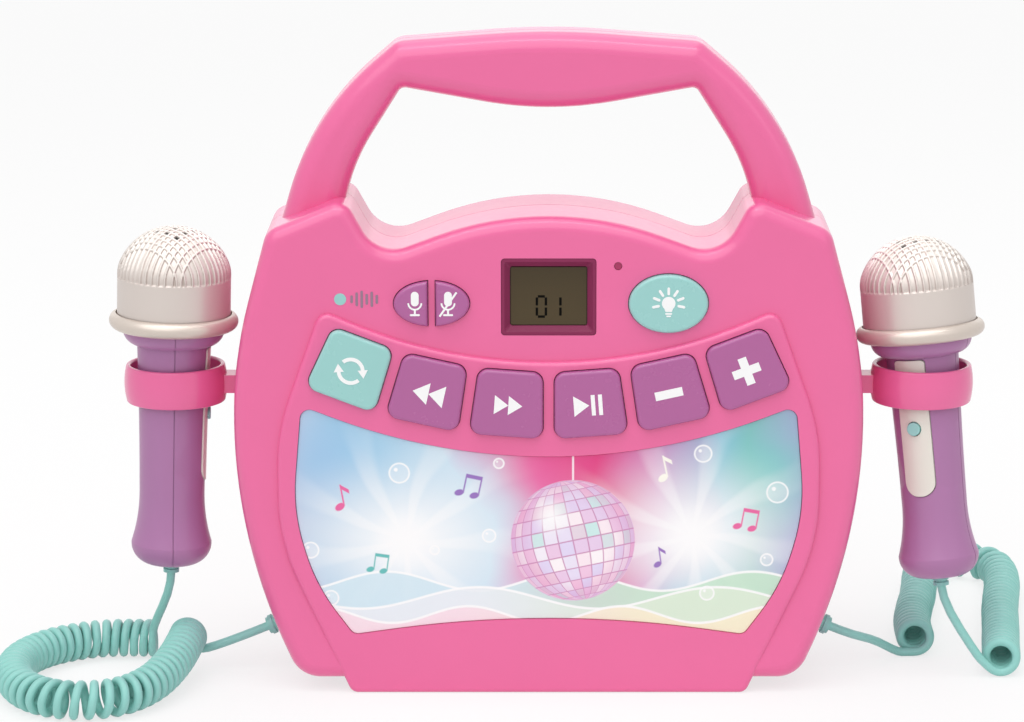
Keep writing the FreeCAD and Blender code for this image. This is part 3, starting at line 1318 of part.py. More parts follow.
def lattice_pocket(i, j):
    """Upright square bar of one pocket, from the foot of the lattice through the crown."""
    width = LATTICE_PITCH - LATTICE_RIB
    x, y = i * LATTICE_PITCH - width / 2, j * LATTICE_PITCH - width / 2
    foot = head_base() + HEAD_CYLINDER - LATTICE_DROP
    return Part.makeBox(width, width, LATTICE_DROP + HEAD_DOME + OVERCUT, V(x, y, foot))


def mic_grille():
    """Hollow metal head: ribs on crossing upright planes, and pockets between, some open on the crown."""
    foot = HEAD_CYLINDER - LATTICE_DROP
    skin = dome_form(0.0, foot).cut(dome_form(LATTICE_DEPTH, foot))
    cells = lattice_cells()
    pockets = skin.common([lattice_pocket(i, j) for i, j in cells])
    holes = [lattice_pocket(i, j) for i, j in cells
             if i % 2 and j % 2 and math.hypot(i, j) * LATTICE_PITCH < LATTICE_HOLES_REACH]
    return dome_form(0.0).cut(dome_form(HEAD_SKIN)).cut(pockets.Solids + holes)


def mic_capsule():
    """Pick-up capsule standing on the collar inside the head."""
    return Part.makeCylinder(CAPSULE_R, CAPSULE_HEIGHT, V(0, 0, head_base()))


def mic_relief():
    """Ribbed relief under the handle, with a plug into its floor."""
    relief = ribbed(RELIEF_R, RELIEF_LENGTH, RELIEF_RIBS)
    relief.translate(V(0, 0, -RELIEF_LENGTH))
    return fused([relief, Part.makeCylinder(CORD_R, MIC_FLOOR, V(0, 0, 0))])


MIC_PIECES = {
    "mic_handle_front": lambda: mic_handle_half(True),
    "mic_handle_back": lambda: mic_handle_half(False),
    "mic_strip": mic_strip,
    "mic_button": mic_button,
    "mic_collar": mic_collar,
    "mic_grille": mic_grille,
    "mic_capsule": mic_capsule,
    "mic_relief": mic_relief,
}


def mic_placement(side, turn, lean, tilt, drop, bearing):
    """Where a microphone stands: turned, leaning sideways, tilted back, and against its ring at a bearing
    from the front. The ring's middle is a drop below the handle's neck."""
    seat = MIC_HANDLE_LENGTH - drop
    slack = RING_BORE_R - mic_radius(seat + RING_HEIGHT / 2) - MIC_RING_GAP
    slack -= RING_HEIGHT / 2 * math.tan(math.radians(abs(lean))) * math.sin(math.radians(bearing))
    slack -= RING_HEIGHT / 2 * math.tan(math.radians(abs(tilt))) * math.cos(math.radians(bearing))
    upright = FreeCAD.Rotation(X_AXIS, -tilt).multiply(FreeCAD.Rotation(Y_AXIS, lean))
    rotation = upright.multiply(FreeCAD.Rotation(Z_AXIS, turn))
    offset = V(side * math.sin(math.radians(bearing)), -math.cos(math.radians(bearing)), 0) * slack
    point = V(side * RING_X, PART_Y, RING_Z) + offset
    return FreeCAD.Placement(point - rotation.multVec(Z_AXIS * seat), rotation)


def placed(shape, placement):
    """A copy of a shape at a placement."""
    copy = shape.copy()
    copy.Placement = placement.multiply(copy.Placement)
    return copy


def cord_pieces(name, side, placement, route, turns, start_deg, mic_points, body_points):
    """Curls of one cord and the leads from their ends to the microphone and the body."""
    curls = Curls(route, turns, start_deg)
    mic_first = name == "left"
    mouth, normal = gland_mouth()
    if side < 0:
        mouth, normal = V(-mouth.x, mouth.y, mouth.z), V(-normal.x, normal.y, normal.z)
    tip = placement.multVec(V(0, 0, -RELIEF_LENGTH))
    down = placement.Rotation.multVec(-Z_AXIS)
    pieces = {name + "_curls": curls.solid(name + "_curls")}
    for label, base, way, last, points in (("_mic_lead", tip, down, not mic_first, mic_points),
                                           ("_body_lead", mouth, normal, mic_first, body_points)):
        end, out = curls.end(last)
        path = [base, base + way * LEAD_END_RUN] + [V(*p) for p in points] + [end + out * LEAD_END_RUN, end]
        pieces[name + label] = lead(name + label, path)
    return pieces


def build():
    """Every node of the machine by name."""
    nodes = {
        "front_shell": front_shell(), "rear_shell": rear_shell(),
        "handle_front": handle_half(True), "handle_rear": handle_half(False),
        "case_screws": case_screws(), "light_panel": light_panel(), "light_box": light_box(),
        "led_board": led_board(), "leds": leds(), "lcd_window": lcd_window(), "lcd_module": lcd_module(),
        "indicator_lens": indicator_lens(), "control_board": control_board(),
        "tact_switches": tact_switches(),
        "speaker_frame": speaker_frame(), "speaker_cone": speaker_cone(), "speaker_magnet": speaker_magnet(),
        "battery_cells": battery_cells(), "battery_contacts": battery_contacts(),
        "battery_tray": battery_tray(), "battery_door": battery_door(),
        "battery_door_screws": battery_door_screws(),
        "power_slider": power_slider(), "power_switch": power_switch(),
    }
    for name, (form, face_y, middle) in key_forms().items():
        nodes[name] = key(form, face_y, middle)
    nodes["right_mic_ring"] = mic_ring()
    nodes["right_cord_gland"] = cord_gland()
    for name in ("mic_ring", "cord_gland"):
        nodes["left_" + name] = nodes["right_" + name].mirror(V(0, 0, 0), X_AXIS)
    mics = (("left", -1, LEFT_HEAD_TURN_DEG,
             LEFT_MIC_TURN_DEG, LEFT_MIC_LEAN_DEG, LEFT_MIC_TILT_DEG, LEFT_MIC_DROP, LEFT_MIC_BEARING_DEG),
            ("right", 1, RIGHT_HEAD_TURN_DEG,
             RIGHT_MIC_TURN_DEG, RIGHT_MIC_LEAN_DEG, RIGHT_MIC_TILT_DEG, RIGHT_MIC_DROP, RIGHT_MIC_BEARING_DEG))
    cords = {"left": (LEFT_CURL_ROUTE, LEFT_CURLS, LEFT_CURLS_START_DEG, LEFT_MIC_LEAD, LEFT_BODY_LEAD),
             "right": (RIGHT_CURL_ROUTE, RIGHT_CURLS, RIGHT_CURLS_START_DEG, RIGHT_MIC_LEAD, RIGHT_BODY_LEAD)}
    forms = {name: make() for name, make in MIC_PIECES.items()}
    for name, side, head_turn, *stance in mics:
        placement = mic_placement(side, *stance)
        for piece, form in forms.items():
            nodes[name + "_" + piece] = placed(form, placement)
        screwed = FreeCAD.Placement(V(0, 0, 0), FreeCAD.Rotation(Z_AXIS, head_turn))
        nodes[name + "_mic_grille"] = placed(forms["mic_grille"], placement.multiply(screwed))
        nodes.update(cord_pieces(name, side, placement, *cords[name]))
    return nodes


def main():
    os.makedirs("parts", exist_ok=True)
    for name, shape in build().items():
        shape.exportStep(os.path.join("parts", name + ".step"))


main()
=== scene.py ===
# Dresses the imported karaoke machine: finishes, curly cords, key symbols, picture panel and studio.
# Blender works in metres; lengths below are in millimetres, scaled by MM, unless a heading says metres.
import math

import bmesh
import bpy
import numpy as np
from mathutils import Matrix


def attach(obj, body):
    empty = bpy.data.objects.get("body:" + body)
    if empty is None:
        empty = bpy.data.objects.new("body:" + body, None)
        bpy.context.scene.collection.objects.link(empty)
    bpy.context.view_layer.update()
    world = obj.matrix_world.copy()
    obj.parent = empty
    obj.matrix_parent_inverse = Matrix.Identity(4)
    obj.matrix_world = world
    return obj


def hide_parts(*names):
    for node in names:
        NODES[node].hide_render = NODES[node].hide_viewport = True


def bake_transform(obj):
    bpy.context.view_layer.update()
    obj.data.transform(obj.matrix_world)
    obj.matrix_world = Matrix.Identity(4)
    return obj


bl_info = {
    "name": "Karaoke machine dresser",
    "version": (1, 0, 0),
    "blender": (4, 5, 0),
    "location": "View3D > Sidebar > Karaoke",
    "description": "Finishes, cords, key symbols, picture panel and studio for the packed karaoke machine",
    "category": "Object",
}

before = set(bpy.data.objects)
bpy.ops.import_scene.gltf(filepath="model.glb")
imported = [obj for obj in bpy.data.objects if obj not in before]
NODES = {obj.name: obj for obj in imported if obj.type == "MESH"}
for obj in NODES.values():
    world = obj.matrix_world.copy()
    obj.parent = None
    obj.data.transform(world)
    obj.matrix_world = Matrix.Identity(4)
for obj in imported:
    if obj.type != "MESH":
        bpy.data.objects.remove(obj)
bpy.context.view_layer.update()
MM = 0.001
SIDES = ("left", "right")

# Places that repeat the part's source, in millimetres
FAN_Z = 340.0
FAN_PITCH_DEG = 8.4
FAN_MID_R = 220.0
FAN_FACE_Y = -41.1
OVAL_FACE_Y = -38.6
CASE_FACE_Y = -36.0
LCD_FACE_Y = -33.6
HEAD_BASE_Z = 101.9
HEAD_R = 23.0
HEAD_CYLINDER = 18.5
HEAD_DOME = 19.5
HEAD_SHOULDER_R = 13.0
HEAD_SKIN = 1.4
CORD_R = 1.8
CURL_R = 6.2
FLOOR_GAP = 0.25
RELIEF_LENGTH = 4.6
GLAND_MOUTH = (116.108, -4.0, 18.639)
GLAND_WAY = (0.921721, 0.0, -0.387853)

# Microphones in their rings: base, angles in degrees, and the head's own turn about its axis
MIC_STANCE = {
    "left": {"base": (-155.483, -7.142, 47.437), "turn": 97.0, "lean": 1.8, "tilt": 0.0, "head": -42.0},
    "right": {"base": (160.903, -12.853, 43.355), "turn": -29.0, "lean": -5.4, "tilt": 5.0, "head": -42.0},
}

# Cords: curls as (x, y, rise), moved from the source's routes, and what shapes the leads
CURL_ROUTES = {
    "left": (
        (-165, 13, 0), (-180, 14.5, 0), (-196, 9.5, 0), (-209.5, -2, 0), (-217.5, -19, 0), (-218, -40, 0),
        (-211, -60, 0), (-198, -73, 0), (-182.5, -75.5, 0), (-168, -68.5, 0), (-158, -52, 1), (-152, -32, 4),
        (-149.5, -13, 6.5), (-149, -5, 7),
    ),
    "right": (
        (154, 14, 0), (154, 33, 0), (157, 55, 0), (161, 77, 0), (163.5, 97, 0), (165.5, 114, 0),
        (169, 130, 0), (178, 139.5, 0), (190.5, 139.5, 0), (200, 129, 0), (201.5, 114, 0), (200, 95, 0),
        (197, 75, 0), (194, 54, 0), (192, 33, 0), (189.5, 12, 0), (187.5, -7, 0), (186.5, -16, 0),
    ),
}
LEAD_END_RUN = 9.5
MIC_END_RUN = 7.0
CURL_END_RUN = 4.0
CURL_STARTS = {"left": 180.0, "right": -90.0}
CURL_SPREAD = {"left": 0.0, "right": 0.25}
BODY_LEAD_POINTS = {"left": (), "right": ((136.0, 5.0, 10.0),)}
ROUTE_SAMPLES = 2000
BEND_WINDOW = 241
LEAST_CURL_RATE = 0.3

# Heads: edges of ribs, pockets, painted shadow and holes, and shares of the painted light and shade on the
# coat
RIB_FLANK = 0.22
SHADE_EDGE = (0.1, 0.65)
BAND_EDGE = 0.3
LEAST_SLOPE = 0.12
HOLE_CELLS_SQUARED = 19
HOLE_DEPTH = 0.6
# Painted light: the band's level, the sides' level and the brightening towards the crown; painted shade in
# the pockets and a painted shadow along their edges
BAND_PAINTED_LIGHT = 0.55
SIDE_PAINTED_LIGHT = 0.58
CROWN_PAINTED_LIGHT = 0.4
POCKET_PAINTED_SHADE = 0.12
SHADE_LOSS = 0.75

# Print
RECORD_DOT = (-83.0, 162.8)
RECORD_DOT_R = 2.4
LEVEL_BARS_X = -78.4
LEVEL_BAR_PITCH = 2.0
LEVEL_BAR_WIDTH = 1.0
LEVEL_BAR_HEIGHTS = (2.2, 4.6, 6.0, 3.4, 5.2, 2.6)
DIGITS_Z = 159.4
DIGIT_HEIGHT = 8.2
DIGIT_WIDTH = 3.6
DIGITS = ((-2.9, "abcdef"), (2.9, "bc"))
DIGIT_INK = 0.06
STROKE_SHARE = 0.27
GAP_SHARE = 0.12
FACETS_PER_RADIAN = 4.2

# Studio, in metres, with lamps as name, place, width and height, and watts
LAMP_AIM = (0.0, 0.0, 0.12)
LAMPS = (
    ("strip_light", (0.0, -0.35, 1.4), (1.6, 0.15), 3.0),
    ("fill_light", (1.1, -1.1, 0.8), (0.6, 0.6), 0.8),
    ("top_light", (0.0, 0.5, 1.5), (1.2, 1.2), 4.0),
    ("back_light", (0.0, 3.8, 1.1), (5.0, 1.6), 9.0),
)
SUN_WAY = (0.2, 0.55, -0.81)
SUN_ANGLE_DEG = 70.0
FLOOR_REACH = 6.0
SENSOR_WIDTH_MM = 36.0
CAMERA_TARGET = (0.0, -0.036, 0.128)
CAMERA_SHIFT = (-0.0358, 0.0231)
CLIP_END = 50.0


# Colours and properties

def paint(red, green, blue):
    """Linear colour of an 8-bit display colour."""
    share = np.array([red, green, blue]) / 255.0
    linear = np.where(share <= 0.04045, share / 12.92, ((share + 0.055) / 1.055) ** 2.4)
    return tuple(float(c) for c in linear)


def colour_property(name, text, shade):
    """Colour that a user can change, given by its display values."""
    return bpy.props.FloatVectorProperty(
        name=name, description=text, subtype="COLOR", size=3, min=0.0, max=1.0, default=paint(*shade))


def number_property(name, text, default, **settings):
    """Number that a user can change."""
    return bpy.props.FloatProperty(name=name, description=text, default=default, **settings)


def length_property(name, text, size_mm):
    """Length that a user can change, given in millimetres."""
    return number_property(name, text, size_mm * MM, subtype="DISTANCE", unit="LENGTH", precision=5)


class KaraokeColours(bpy.types.PropertyGroup):
    """Colours of the machine."""

    case: colour_property("Case", "Pink of the shells, handle and rings", (235, 102, 158))
    key: colour_property("Keys", "Purple of the keys", (175, 92, 152))
    accent: colour_property("Accent keys", "Teal of the mode and light keys", (152, 206, 202))
    microphone: colour_property("Microphone", "Purple of the microphone handles", (172, 117, 164))
    metal: colour_property("Metal", "Champagne of the collars", (212, 200, 190))
    # The heads' dark and bright tones are a shaded and a lit copy of one metal: painted shade and painted
    # light
    head_painted_shade: colour_property("Head, dark", "Darkest tone of the heads", (152, 128, 118))
    head_painted_light: colour_property("Head, bright", "Brightest tone of the heads", (250, 244, 238))
    strip: colour_property("Strip", "Pale strip on the microphones", (228, 224, 214))
    cord: colour_property("Cord", "Teal of the cords", (146, 208, 200))
    surround: colour_property("Surround", "Dark magenta round the display", (134, 46, 84))
    glass: colour_property("Display", "Grey green of the display", (74, 62, 40))
    ink: colour_property("Ink", "White of the key symbols", (248, 248, 248))
    grey_ink: colour_property("Grey ink", "Grey of the level bars on the case", (150, 118, 140))


class KaraokeCords(bpy.types.PropertyGroup):
    """Sizes of the cords."""

    left_turns: number_property("Left curls", "Curls in the left cord", 49.25, min=1.0)
    right_turns: number_property("Right curls", "Curls in the right cord", 57.125, min=1.0)
    radius: length_property("Radius", "Radius of the cord", CORD_R)
    curl: length_property("Curl radius", "Radius of the curls at the cord's middle", CURL_R)


class KaraokeDetail(bpy.types.PropertyGroup):
    """Sizes of small detail."""

    ink_thickness: length_property("Ink thickness", "How far printed symbols stand proud", 0.12)
    lattice_pitch: length_property("Lattice pitch", "Distance between the ribs of a head", 2.6)
    lattice_rib: length_property("Lattice rib", "Width of a rib on a head", 0.55)
    lattice_depth: length_property("Lattice depth", "Depth of the pockets between the ribs", 0.6)
    lattice_foot: length_property("Lattice foot", "Height of the plain band under the ribs", 17.2)
    lattice_reach: length_property("Lattice reach", "Distance of the outermost ribs from the axis", 17.5)


class KaraokeStudio(bpy.types.PropertyGroup):
    """Camera and light."""

    distance: length_property("Distance", "From the camera to the machine", 1500.0)
    elevation: number_property(
        "Elevation", "Angle of the view above the horizon", math.radians(12.5), subtype="ANGLE",
        unit="ROTATION")
    lens: number_property("Lens", "Focal length on a 36 mm sensor", 131.84, subtype="DISTANCE_CAMERA")
    floor: colour_property("Floor", "Pale floor", (248, 248, 248))
    floor_lift: number_property(
        "Floor lift", "Share of plain white in the floor that the camera sees", 0.72, subtype="FACTOR",
        min=0.0, max=1.0)
    world: number_property("World", "Strength of the even light", 0.45, min=0.0)
    sun: number_property("Sun", "Strength of the soft daylight", 1.4, min=0.0)


PROPERTY_GROUPS = {
    "karaoke_colours": KaraokeColours,
    "karaoke_cords": KaraokeCords,
    "karaoke_detail": KaraokeDetail,
    "karaoke_studio": KaraokeStudio,
}


# Materials

class Term:
    """A value in a material: arithmetic on it adds Math nodes to that material."""

    def __init__(self, finish, socket):
        self.finish = finish
        self.socket = socket

    def __add__(self, other):
        return self.finish.maths("ADD", self, other)

    def __sub__(self, other):
        return self.finish.maths("SUBTRACT", self, other)

    def __rsub__(self, other):
        return self.finish.maths("SUBTRACT", other, self)

    def __mul__(self, other):
        return self.finish.maths("MULTIPLY", self, other)

    def __truediv__(self, other):
        return self.finish.maths("DIVIDE", self, other)

    def __abs__(self):
        return self.finish.maths("ABSOLUTE", self)


class Nodes:
    """A node tree under construction."""

    def __init__(self, tree):
        self.tree = tree

    def feed(self, socket, value):
        """Link a value to a socket, or set a plain number or colour on it."""
        if isinstance(value, Term):
            self.tree.links.new(value.socket, socket)
        elif isinstance(value, tuple) and len(value) == 3 and socket.type == "RGBA":
            socket.default_value = (*value, 1.0)
        else:
            socket.default_value = value

    def node(self, kind, output, settings=None, sockets=None):
        """Add a node: its settings first, then its sockets; gives one of its outputs."""
        node = self.tree.nodes.new("ShaderNode" + kind)
        for key, value in (settings or {}).items():
            if key == "ramp":
                self.set_ramp(node.color_ramp, value)
            else:
                setattr(node, key, value)
        for key, value in (sockets or {}).items():
            self.feed(node.inputs[key], value)
        return Term(self, node.outputs[output])

    @staticmethod
    def set_ramp(ramp, stops):
        """Put (position, colour) stops into a colour ramp."""
        while len(ramp.elements) < len(stops):
            ramp.elements.new(1.0)
        for element, (position, shade) in zip(ramp.elements, stops):
            element.position = position
            element.color = (*shade, 1.0)

    def maths(self, operation, *values):
        """Math node on numbers and terms."""
        return self.node("Math", 0, {"operation": operation}, dict(enumerate(values)))

    def smooth(self, value, low, high):
        """Smooth step from 0 at low to 1 at high."""
        sockets = {"Value": value, "From Min": low, "From Max": high}
        return self.node("MapRange", "Result", {"interpolation_type": "SMOOTHSTEP"}, sockets)

    def mix(self, factor, first, second):
        """Colour between two colours."""
        return self.node("Mix", 2, {"data_type": "RGBA"}, {0: factor, 6: first, 7: second})

    def point(self):
        """Object coordinates in millimetres, as one vector."""
        place = self.node("TexCoord", "Object")
        return self.node("VectorMath", 0, {"operation": "SCALE"}, {0: place, "Scale": 1.0 / MM})

    def along(self, axis, point):
        """One coordinate of a vector."""
        return self.node("SeparateXYZ", axis, None, {0: point})

    def noise(self, vector, scale, detail=2.0):
        """Smooth noise about 0.5."""
        return self.node("TexNoise", 0, None, {"Vector": vector, "Scale": scale, "Detail": detail})

    def bump(self, height, distance_mm):
        """Normal from a height between 0 and 1."""
        return self.node("Bump", "Normal", None, {"Height": height, "Distance": distance_mm * MM})

    def seen(self):
        """1 on rays from the camera, straight or by way of gloss or glass."""
        rays = [self.node("LightPath", "Is %s Ray" % kind) for kind in ("Camera", "Glossy", "Transmission")]
        return self.maths("MAXIMUM", self.maths("MAXIMUM", rays[0], rays[1]), rays[2])


class Finish(Nodes):
    """A material under construction on a Principled shader."""

    def __init__(self, name, **sockets):
        self.material = bpy.data.materials.new(name)
        self.material.use_nodes = True
        super().__init__(self.material.node_tree)
        self.shader = self.tree.nodes["Principled BSDF"]
        self.set(**sockets)

    def set(self, **sockets):
        """Feed the shader's sockets; underscores in the names stand for spaces."""
        for name, value in sockets.items():
            self.feed(self.shader.inputs[name.replace("_", " ")], value)


def tint(shade, gain):
    """A colour made lighter or darker."""
    return tuple(min(1.0, c * gain) for c in shade)


def moulded(name, shade, roughness=0.32, cloud=0.03, peel_mm=0.004, coat=0.0, gloss=0.5):
    """Moulded plastic: faint clouds in its colour and gloss, and a fine orange peel."""
    finish = Finish(name, Coat_Roughness=0.12, IOR=1.5, Specular_IOR_Level=gloss)
    point = finish.point()
    clouds = finish.noise(point, 0.035, 3.0)
    peel = finish.noise(point, 0.35, 2.0)
    finish.set(
        Base_Color=finish.mix(clouds, tint(shade, 1.0 - cloud), tint(shade, 1.0 + cloud)),
        Roughness=(clouds - 0.5) * 0.12 + (peel - 0.5) * 0.08 + roughness,
        Coat_Weight=coat, Normal=finish.bump(peel, peel_mm))
    return finish.material


def sprayed_metal(name, shade):
    """Satin metallic coat: fine flakes that vary its gloss, faint clouds and a sandy bump."""
    finish = Finish(name, IOR=1.5)
    point = finish.point()
    flakes = finish.noise(point, 6.0, 1.0)
    clouds = finish.noise(point, 0.06, 2.0)
    finish.set(
        Base_Color=finish.mix(clouds, tint(shade, 0.94), tint(shade, 1.05)),
        Metallic=(clouds - 0.5) * 0.1 + 0.5,
        Roughness=(flakes - 0.5) * 0.16 + 0.36,
        Normal=finish.bump(flakes, 0.008))
    return finish.material


def dress(material, *names):
    """Give CAD nodes a material."""
    for name in names:
        node = NODES[name]
        node.data.materials.clear()
        node.data.materials.append(material)


# Meshes

def add_object(name, data):
    """Put an object into the scene."""
    item = bpy.data.objects.new(name, data)
    bpy.context.scene.collection.objects.link(item)
    return item


def add_piece(name, mesh, material, body):
    """Put a finished mesh into the scene as a piece that rides on a body, when one is given."""
    mesh.materials.append(material)
    piece = add_object(name, mesh)
    if body:
        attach(piece, body)
    return piece


def cleaned(mesh, merge_mm):
    """Merge doubles and turn the faces of a mesh outwards."""
    work = bmesh.new()
    work.from_mesh(mesh)
    bmesh.ops.remove_doubles(work, verts=work.verts, dist=merge_mm * MM)
    bmesh.ops.recalc_face_normals(work, faces=work.faces)
    work.to_mesh(mesh)
    work.free()
    return mesh


def smoothed(mesh):
    """Shade a mesh smooth."""
    mesh.polygons.foreach_set("use_smooth", np.ones(len(mesh.polygons), bool))
    return mesh


def wrapped_surface(name, points):
    """Mesh of a grid of points, (rows, columns, 3) in mm, whose last column joins the first."""
    rows, columns = points.shape[:2]
    index = np.arange(rows * columns).reshape(rows, columns)
    index = np.hstack([index, index[:, :1]])
    quads = np.stack([index[:-1, :-1], index[:-1, 1:], index[1:, 1:], index[1:, :-1]], axis=-1)
    mesh = bpy.data.meshes.new(name)
    mesh.from_pydata(points.reshape(-1, 3) * MM, [], quads.reshape(-1, 4))
    return mesh


def step_up(low, high, value):
    """Smooth step from 0 at low to 1 at high, on arrays."""
    share = np.clip((value - low) / (high - low), 0.0, 1.0)
    return share * share * (3.0 - 2.0 * share)


# Flat symbols, as outlines of (x, z) points in mm

def disc(x, z, radius, count=48):
    """Circle: middle plus radius times (cos a, sin a)."""
    angle = np.linspace(0.0, 2.0 * np.pi, count, endpoint=False)
    return np.column_stack([x + radius * np.cos(angle), z + radius * np.sin(angle)])


def bar(x0, z0, x1, z1, width):
    """Rectangle along a line: its ends moved by half the width to each side."""
    ends = np.array([(x0, z0), (x1, z1)], float)
    way = (ends[1] - ends[0]) / np.linalg.norm(ends[1] - ends[0])
    side = np.array([-way[1], way[0]]) * width / 2
    return np.array([ends[0] - side, ends[1] - side, ends[1] + side, ends[0] + side])


def pill(x0, z0, x1, z1, width, count=16):
    """Bar with round ends: two half circles about the ends of a line."""
    ends = np.array([(x0, z0), (x1, z1)], float)
    heading = math.atan2(z1 - z0, x1 - x0)
    half = np.linspace(-np.pi / 2, np.pi / 2, count)
    caps = [ends[i] + width / 2 * np.column_stack([np.cos(half + turn), np.sin(half + turn)])
            for i, turn in ((1, heading), (0, heading + np.pi))]
    return np.vstack(caps)


def arc_band(x, z, radius, width, start_deg, end_deg, count=24):
    """Band along an arc: its outer edge forwards and its inner edge back."""
    angle = np.radians(np.linspace(start_deg, end_deg, count))
    circle = np.column_stack([np.cos(angle), np.sin(angle)])
    return np.vstack([circle * (radius + width / 2), circle[::-1] * (radius - width / 2)]) + (x, z)


def turned(points, angle_deg, middle):
    """Points turned about the origin and moved to a middle."""
    a = math.radians(angle_deg)
    return points @ np.array([(math.cos(a), math.sin(a)), (-math.sin(a), math.cos(a))]) + middle


def slab(name, outlines, face_y, thickness, sunk=0.03):
    """Closed slabs on a plane of constant y: each outline in front, behind, and a wall between them.
    Each next slab is a little thicker, so that no two fronts lie in one plane."""
    points, faces = [], []
    for shape in outlines:
        count, first = len(shape), sum(len(p) for p in points)
        for y in (face_y - thickness * (1.0 + 0.04 * len(points)), face_y + sunk):
            points.append(np.column_stack([shape[:, 0], np.full(count, y), shape[:, 1]]))
        ring = np.arange(count)
        after = (ring + 1) % count
        walls = np.column_stack([ring, after, after + count, ring + count]) + first
        faces += [list(ring + first), list(ring[::-1] + first + count)] + walls.tolist()
    mesh = bpy.data.meshes.new(name)
    mesh.from_pydata(np.vstack(points) * MM, [], faces)
    return cleaned(mesh, 0.0001)


def triangle(x, width, height, way):
    """Triangle about x that points left (-1) or right (1)."""
    tip, back = x + way * width / 2, x - way * width / 2
    return np.array([(tip, 0.0), (back, height / 2), (back, -height / 2)])


def cycle_symbol(radius=4.8, width=1.5):
    """Two curved arrows that chase each other."""
    head = np.array([(0.0, 2.0), (3.4, 0.0), (0.0, -2.0)])
    shapes = []
    for start, end in ((25, 150), (205, 330)):
        a = math.radians(start)
        shapes.append(arc_band(0, 0, radius, width, start, end))
        shapes.append(turned(head, start - 90, radius * np.array([math.cos(a), math.sin(a)])))
    return shapes


def microphone_symbol():
    """Capsule, cradle, stem and foot."""
    return [pill(0, 0.8, 0, 3.6, 3.1), arc_band(0, 0.5, 2.6, 0.7, 180, 360),
            bar(0, -2.0, 0, -4.1, 0.8), pill(-1.6, -4.3, 1.6, -4.3, 0.8)]


def bulb_symbol():
    """Bulb with its neck, cap and seven rays."""
    round_part = np.radians(np.linspace(-50, 230, 40))
    glass = np.vstack([2.7 * np.column_stack([np.cos(round_part), np.sin(round_part)]),
                       [(-1.25, -3.4), (1.25, -3.4)]])
    shapes = [glass + (0.0, 0.2), pill(-1.0, -4.0, 1.0, -4.0, 0.7), pill(-0.6, -5.0, 0.6, -5.0, 0.6)]
    for a in np.radians(np.linspace(-12, 192, 7)):
        ray = np.array([math.cos(a), math.sin(a)])
        shapes.append(pill(*(4.1 * ray), *(6.2 * ray), 1.05))
    return shapes


KEY_SYMBOLS = {
    "key_mode": cycle_symbol(),
    "key_rewind": [triangle(-3.2, 6.4, 9.0, -1), triangle(3.2, 6.4, 9.0, -1)],
    "key_forward": [triangle(-2.8, 5.6, 7.8, 1), triangle(2.8, 5.6, 7.8, 1)],
    "key_play": [triangle(-3.0, 6.2, 8.4, 1), bar(1.7, -4.2, 1.7, 4.2, 1.6), bar(4.6, -4.2, 4.6, 4.2, 1.6)],
    "key_minus": [bar(-5.6, 0, 5.6, 0, 3.5)],
    "key_plus": [bar(-5.7, 0, 5.7, 0, 3.5), bar(0, 1.7, 0, 5.7, 3.5), bar(0, -5.7, 0, -1.7, 3.5)],
}
OVAL_SYMBOLS = {
    "key_mic_on": ((-53.2, 161.2), microphone_symbol()),
    "key_mic_mute": ((-40.0, 161.2), microphone_symbol() + [bar(-3.4, -4.9, 3.4, 4.9, 0.8)]),
    "key_light": ((47.7, 161.4), bulb_symbol()),
}


def segment(letter, height, width):
    """One bar of a digit, by its usual letter: a on top, b to f clockwise from there."""
    h, w, gap = height / 2, width / 2, width * GAP_SHARE
    places = {
        "a": (-w, h, w, h), "b": (w, 0, w, h), "c": (w, -h, w, 0),
        "d": (-w, -h, w, -h), "e": (-w, -h, -w, 0), "f": (-w, 0, -w, h),
    }
    x0, z0, x1, z1 = places[letter]
    dx, dz = np.sign(x1 - x0) * gap, np.sign(z1 - z0) * gap
    return bar(x0 + dx, z0 + dz, x1 - dx, z1 - dz, width * STROKE_SHARE)


# Cords

def spline_points(points, depth=0.0, dense=12):
    """Mesh of the NURBS spline of order 3 with these control points: its line, or a tube of a depth."""
    curve = bpy.data.curves.new("route", "CURVE")
    curve.dimensions = "3D"
    curve.bevel_depth = depth
    curve.bevel_resolution = 3
    curve.use_fill_caps = depth > 0
    spline = curve.splines.new("NURBS")
    spline.points.add(len(points) - 1)
    control = np.column_stack([points, np.ones(len(points))])
    spline.points.foreach_set("co", control.ravel())
    spline.order_u = 3
    spline.use_endpoint_u = True
    spline.resolution_u = dense
    holder = bpy.data.objects.new("route", curve)
    mesh = bpy.data.meshes.new_from_object(holder)
    bpy.data.objects.remove(holder)
    bpy.data.curves.remove(curve)
    return mesh


def mesh_points(mesh):
    """Vertices of a mesh as an array."""
    found = np.empty(3 * len(mesh.vertices))
    mesh.vertices.foreach_get("co", found)
    return found.reshape(-1, 3)


def unit(vectors):
    """Vectors of length one."""
    return vectors / np.linalg.norm(vectors, axis=-1, keepdims=True)


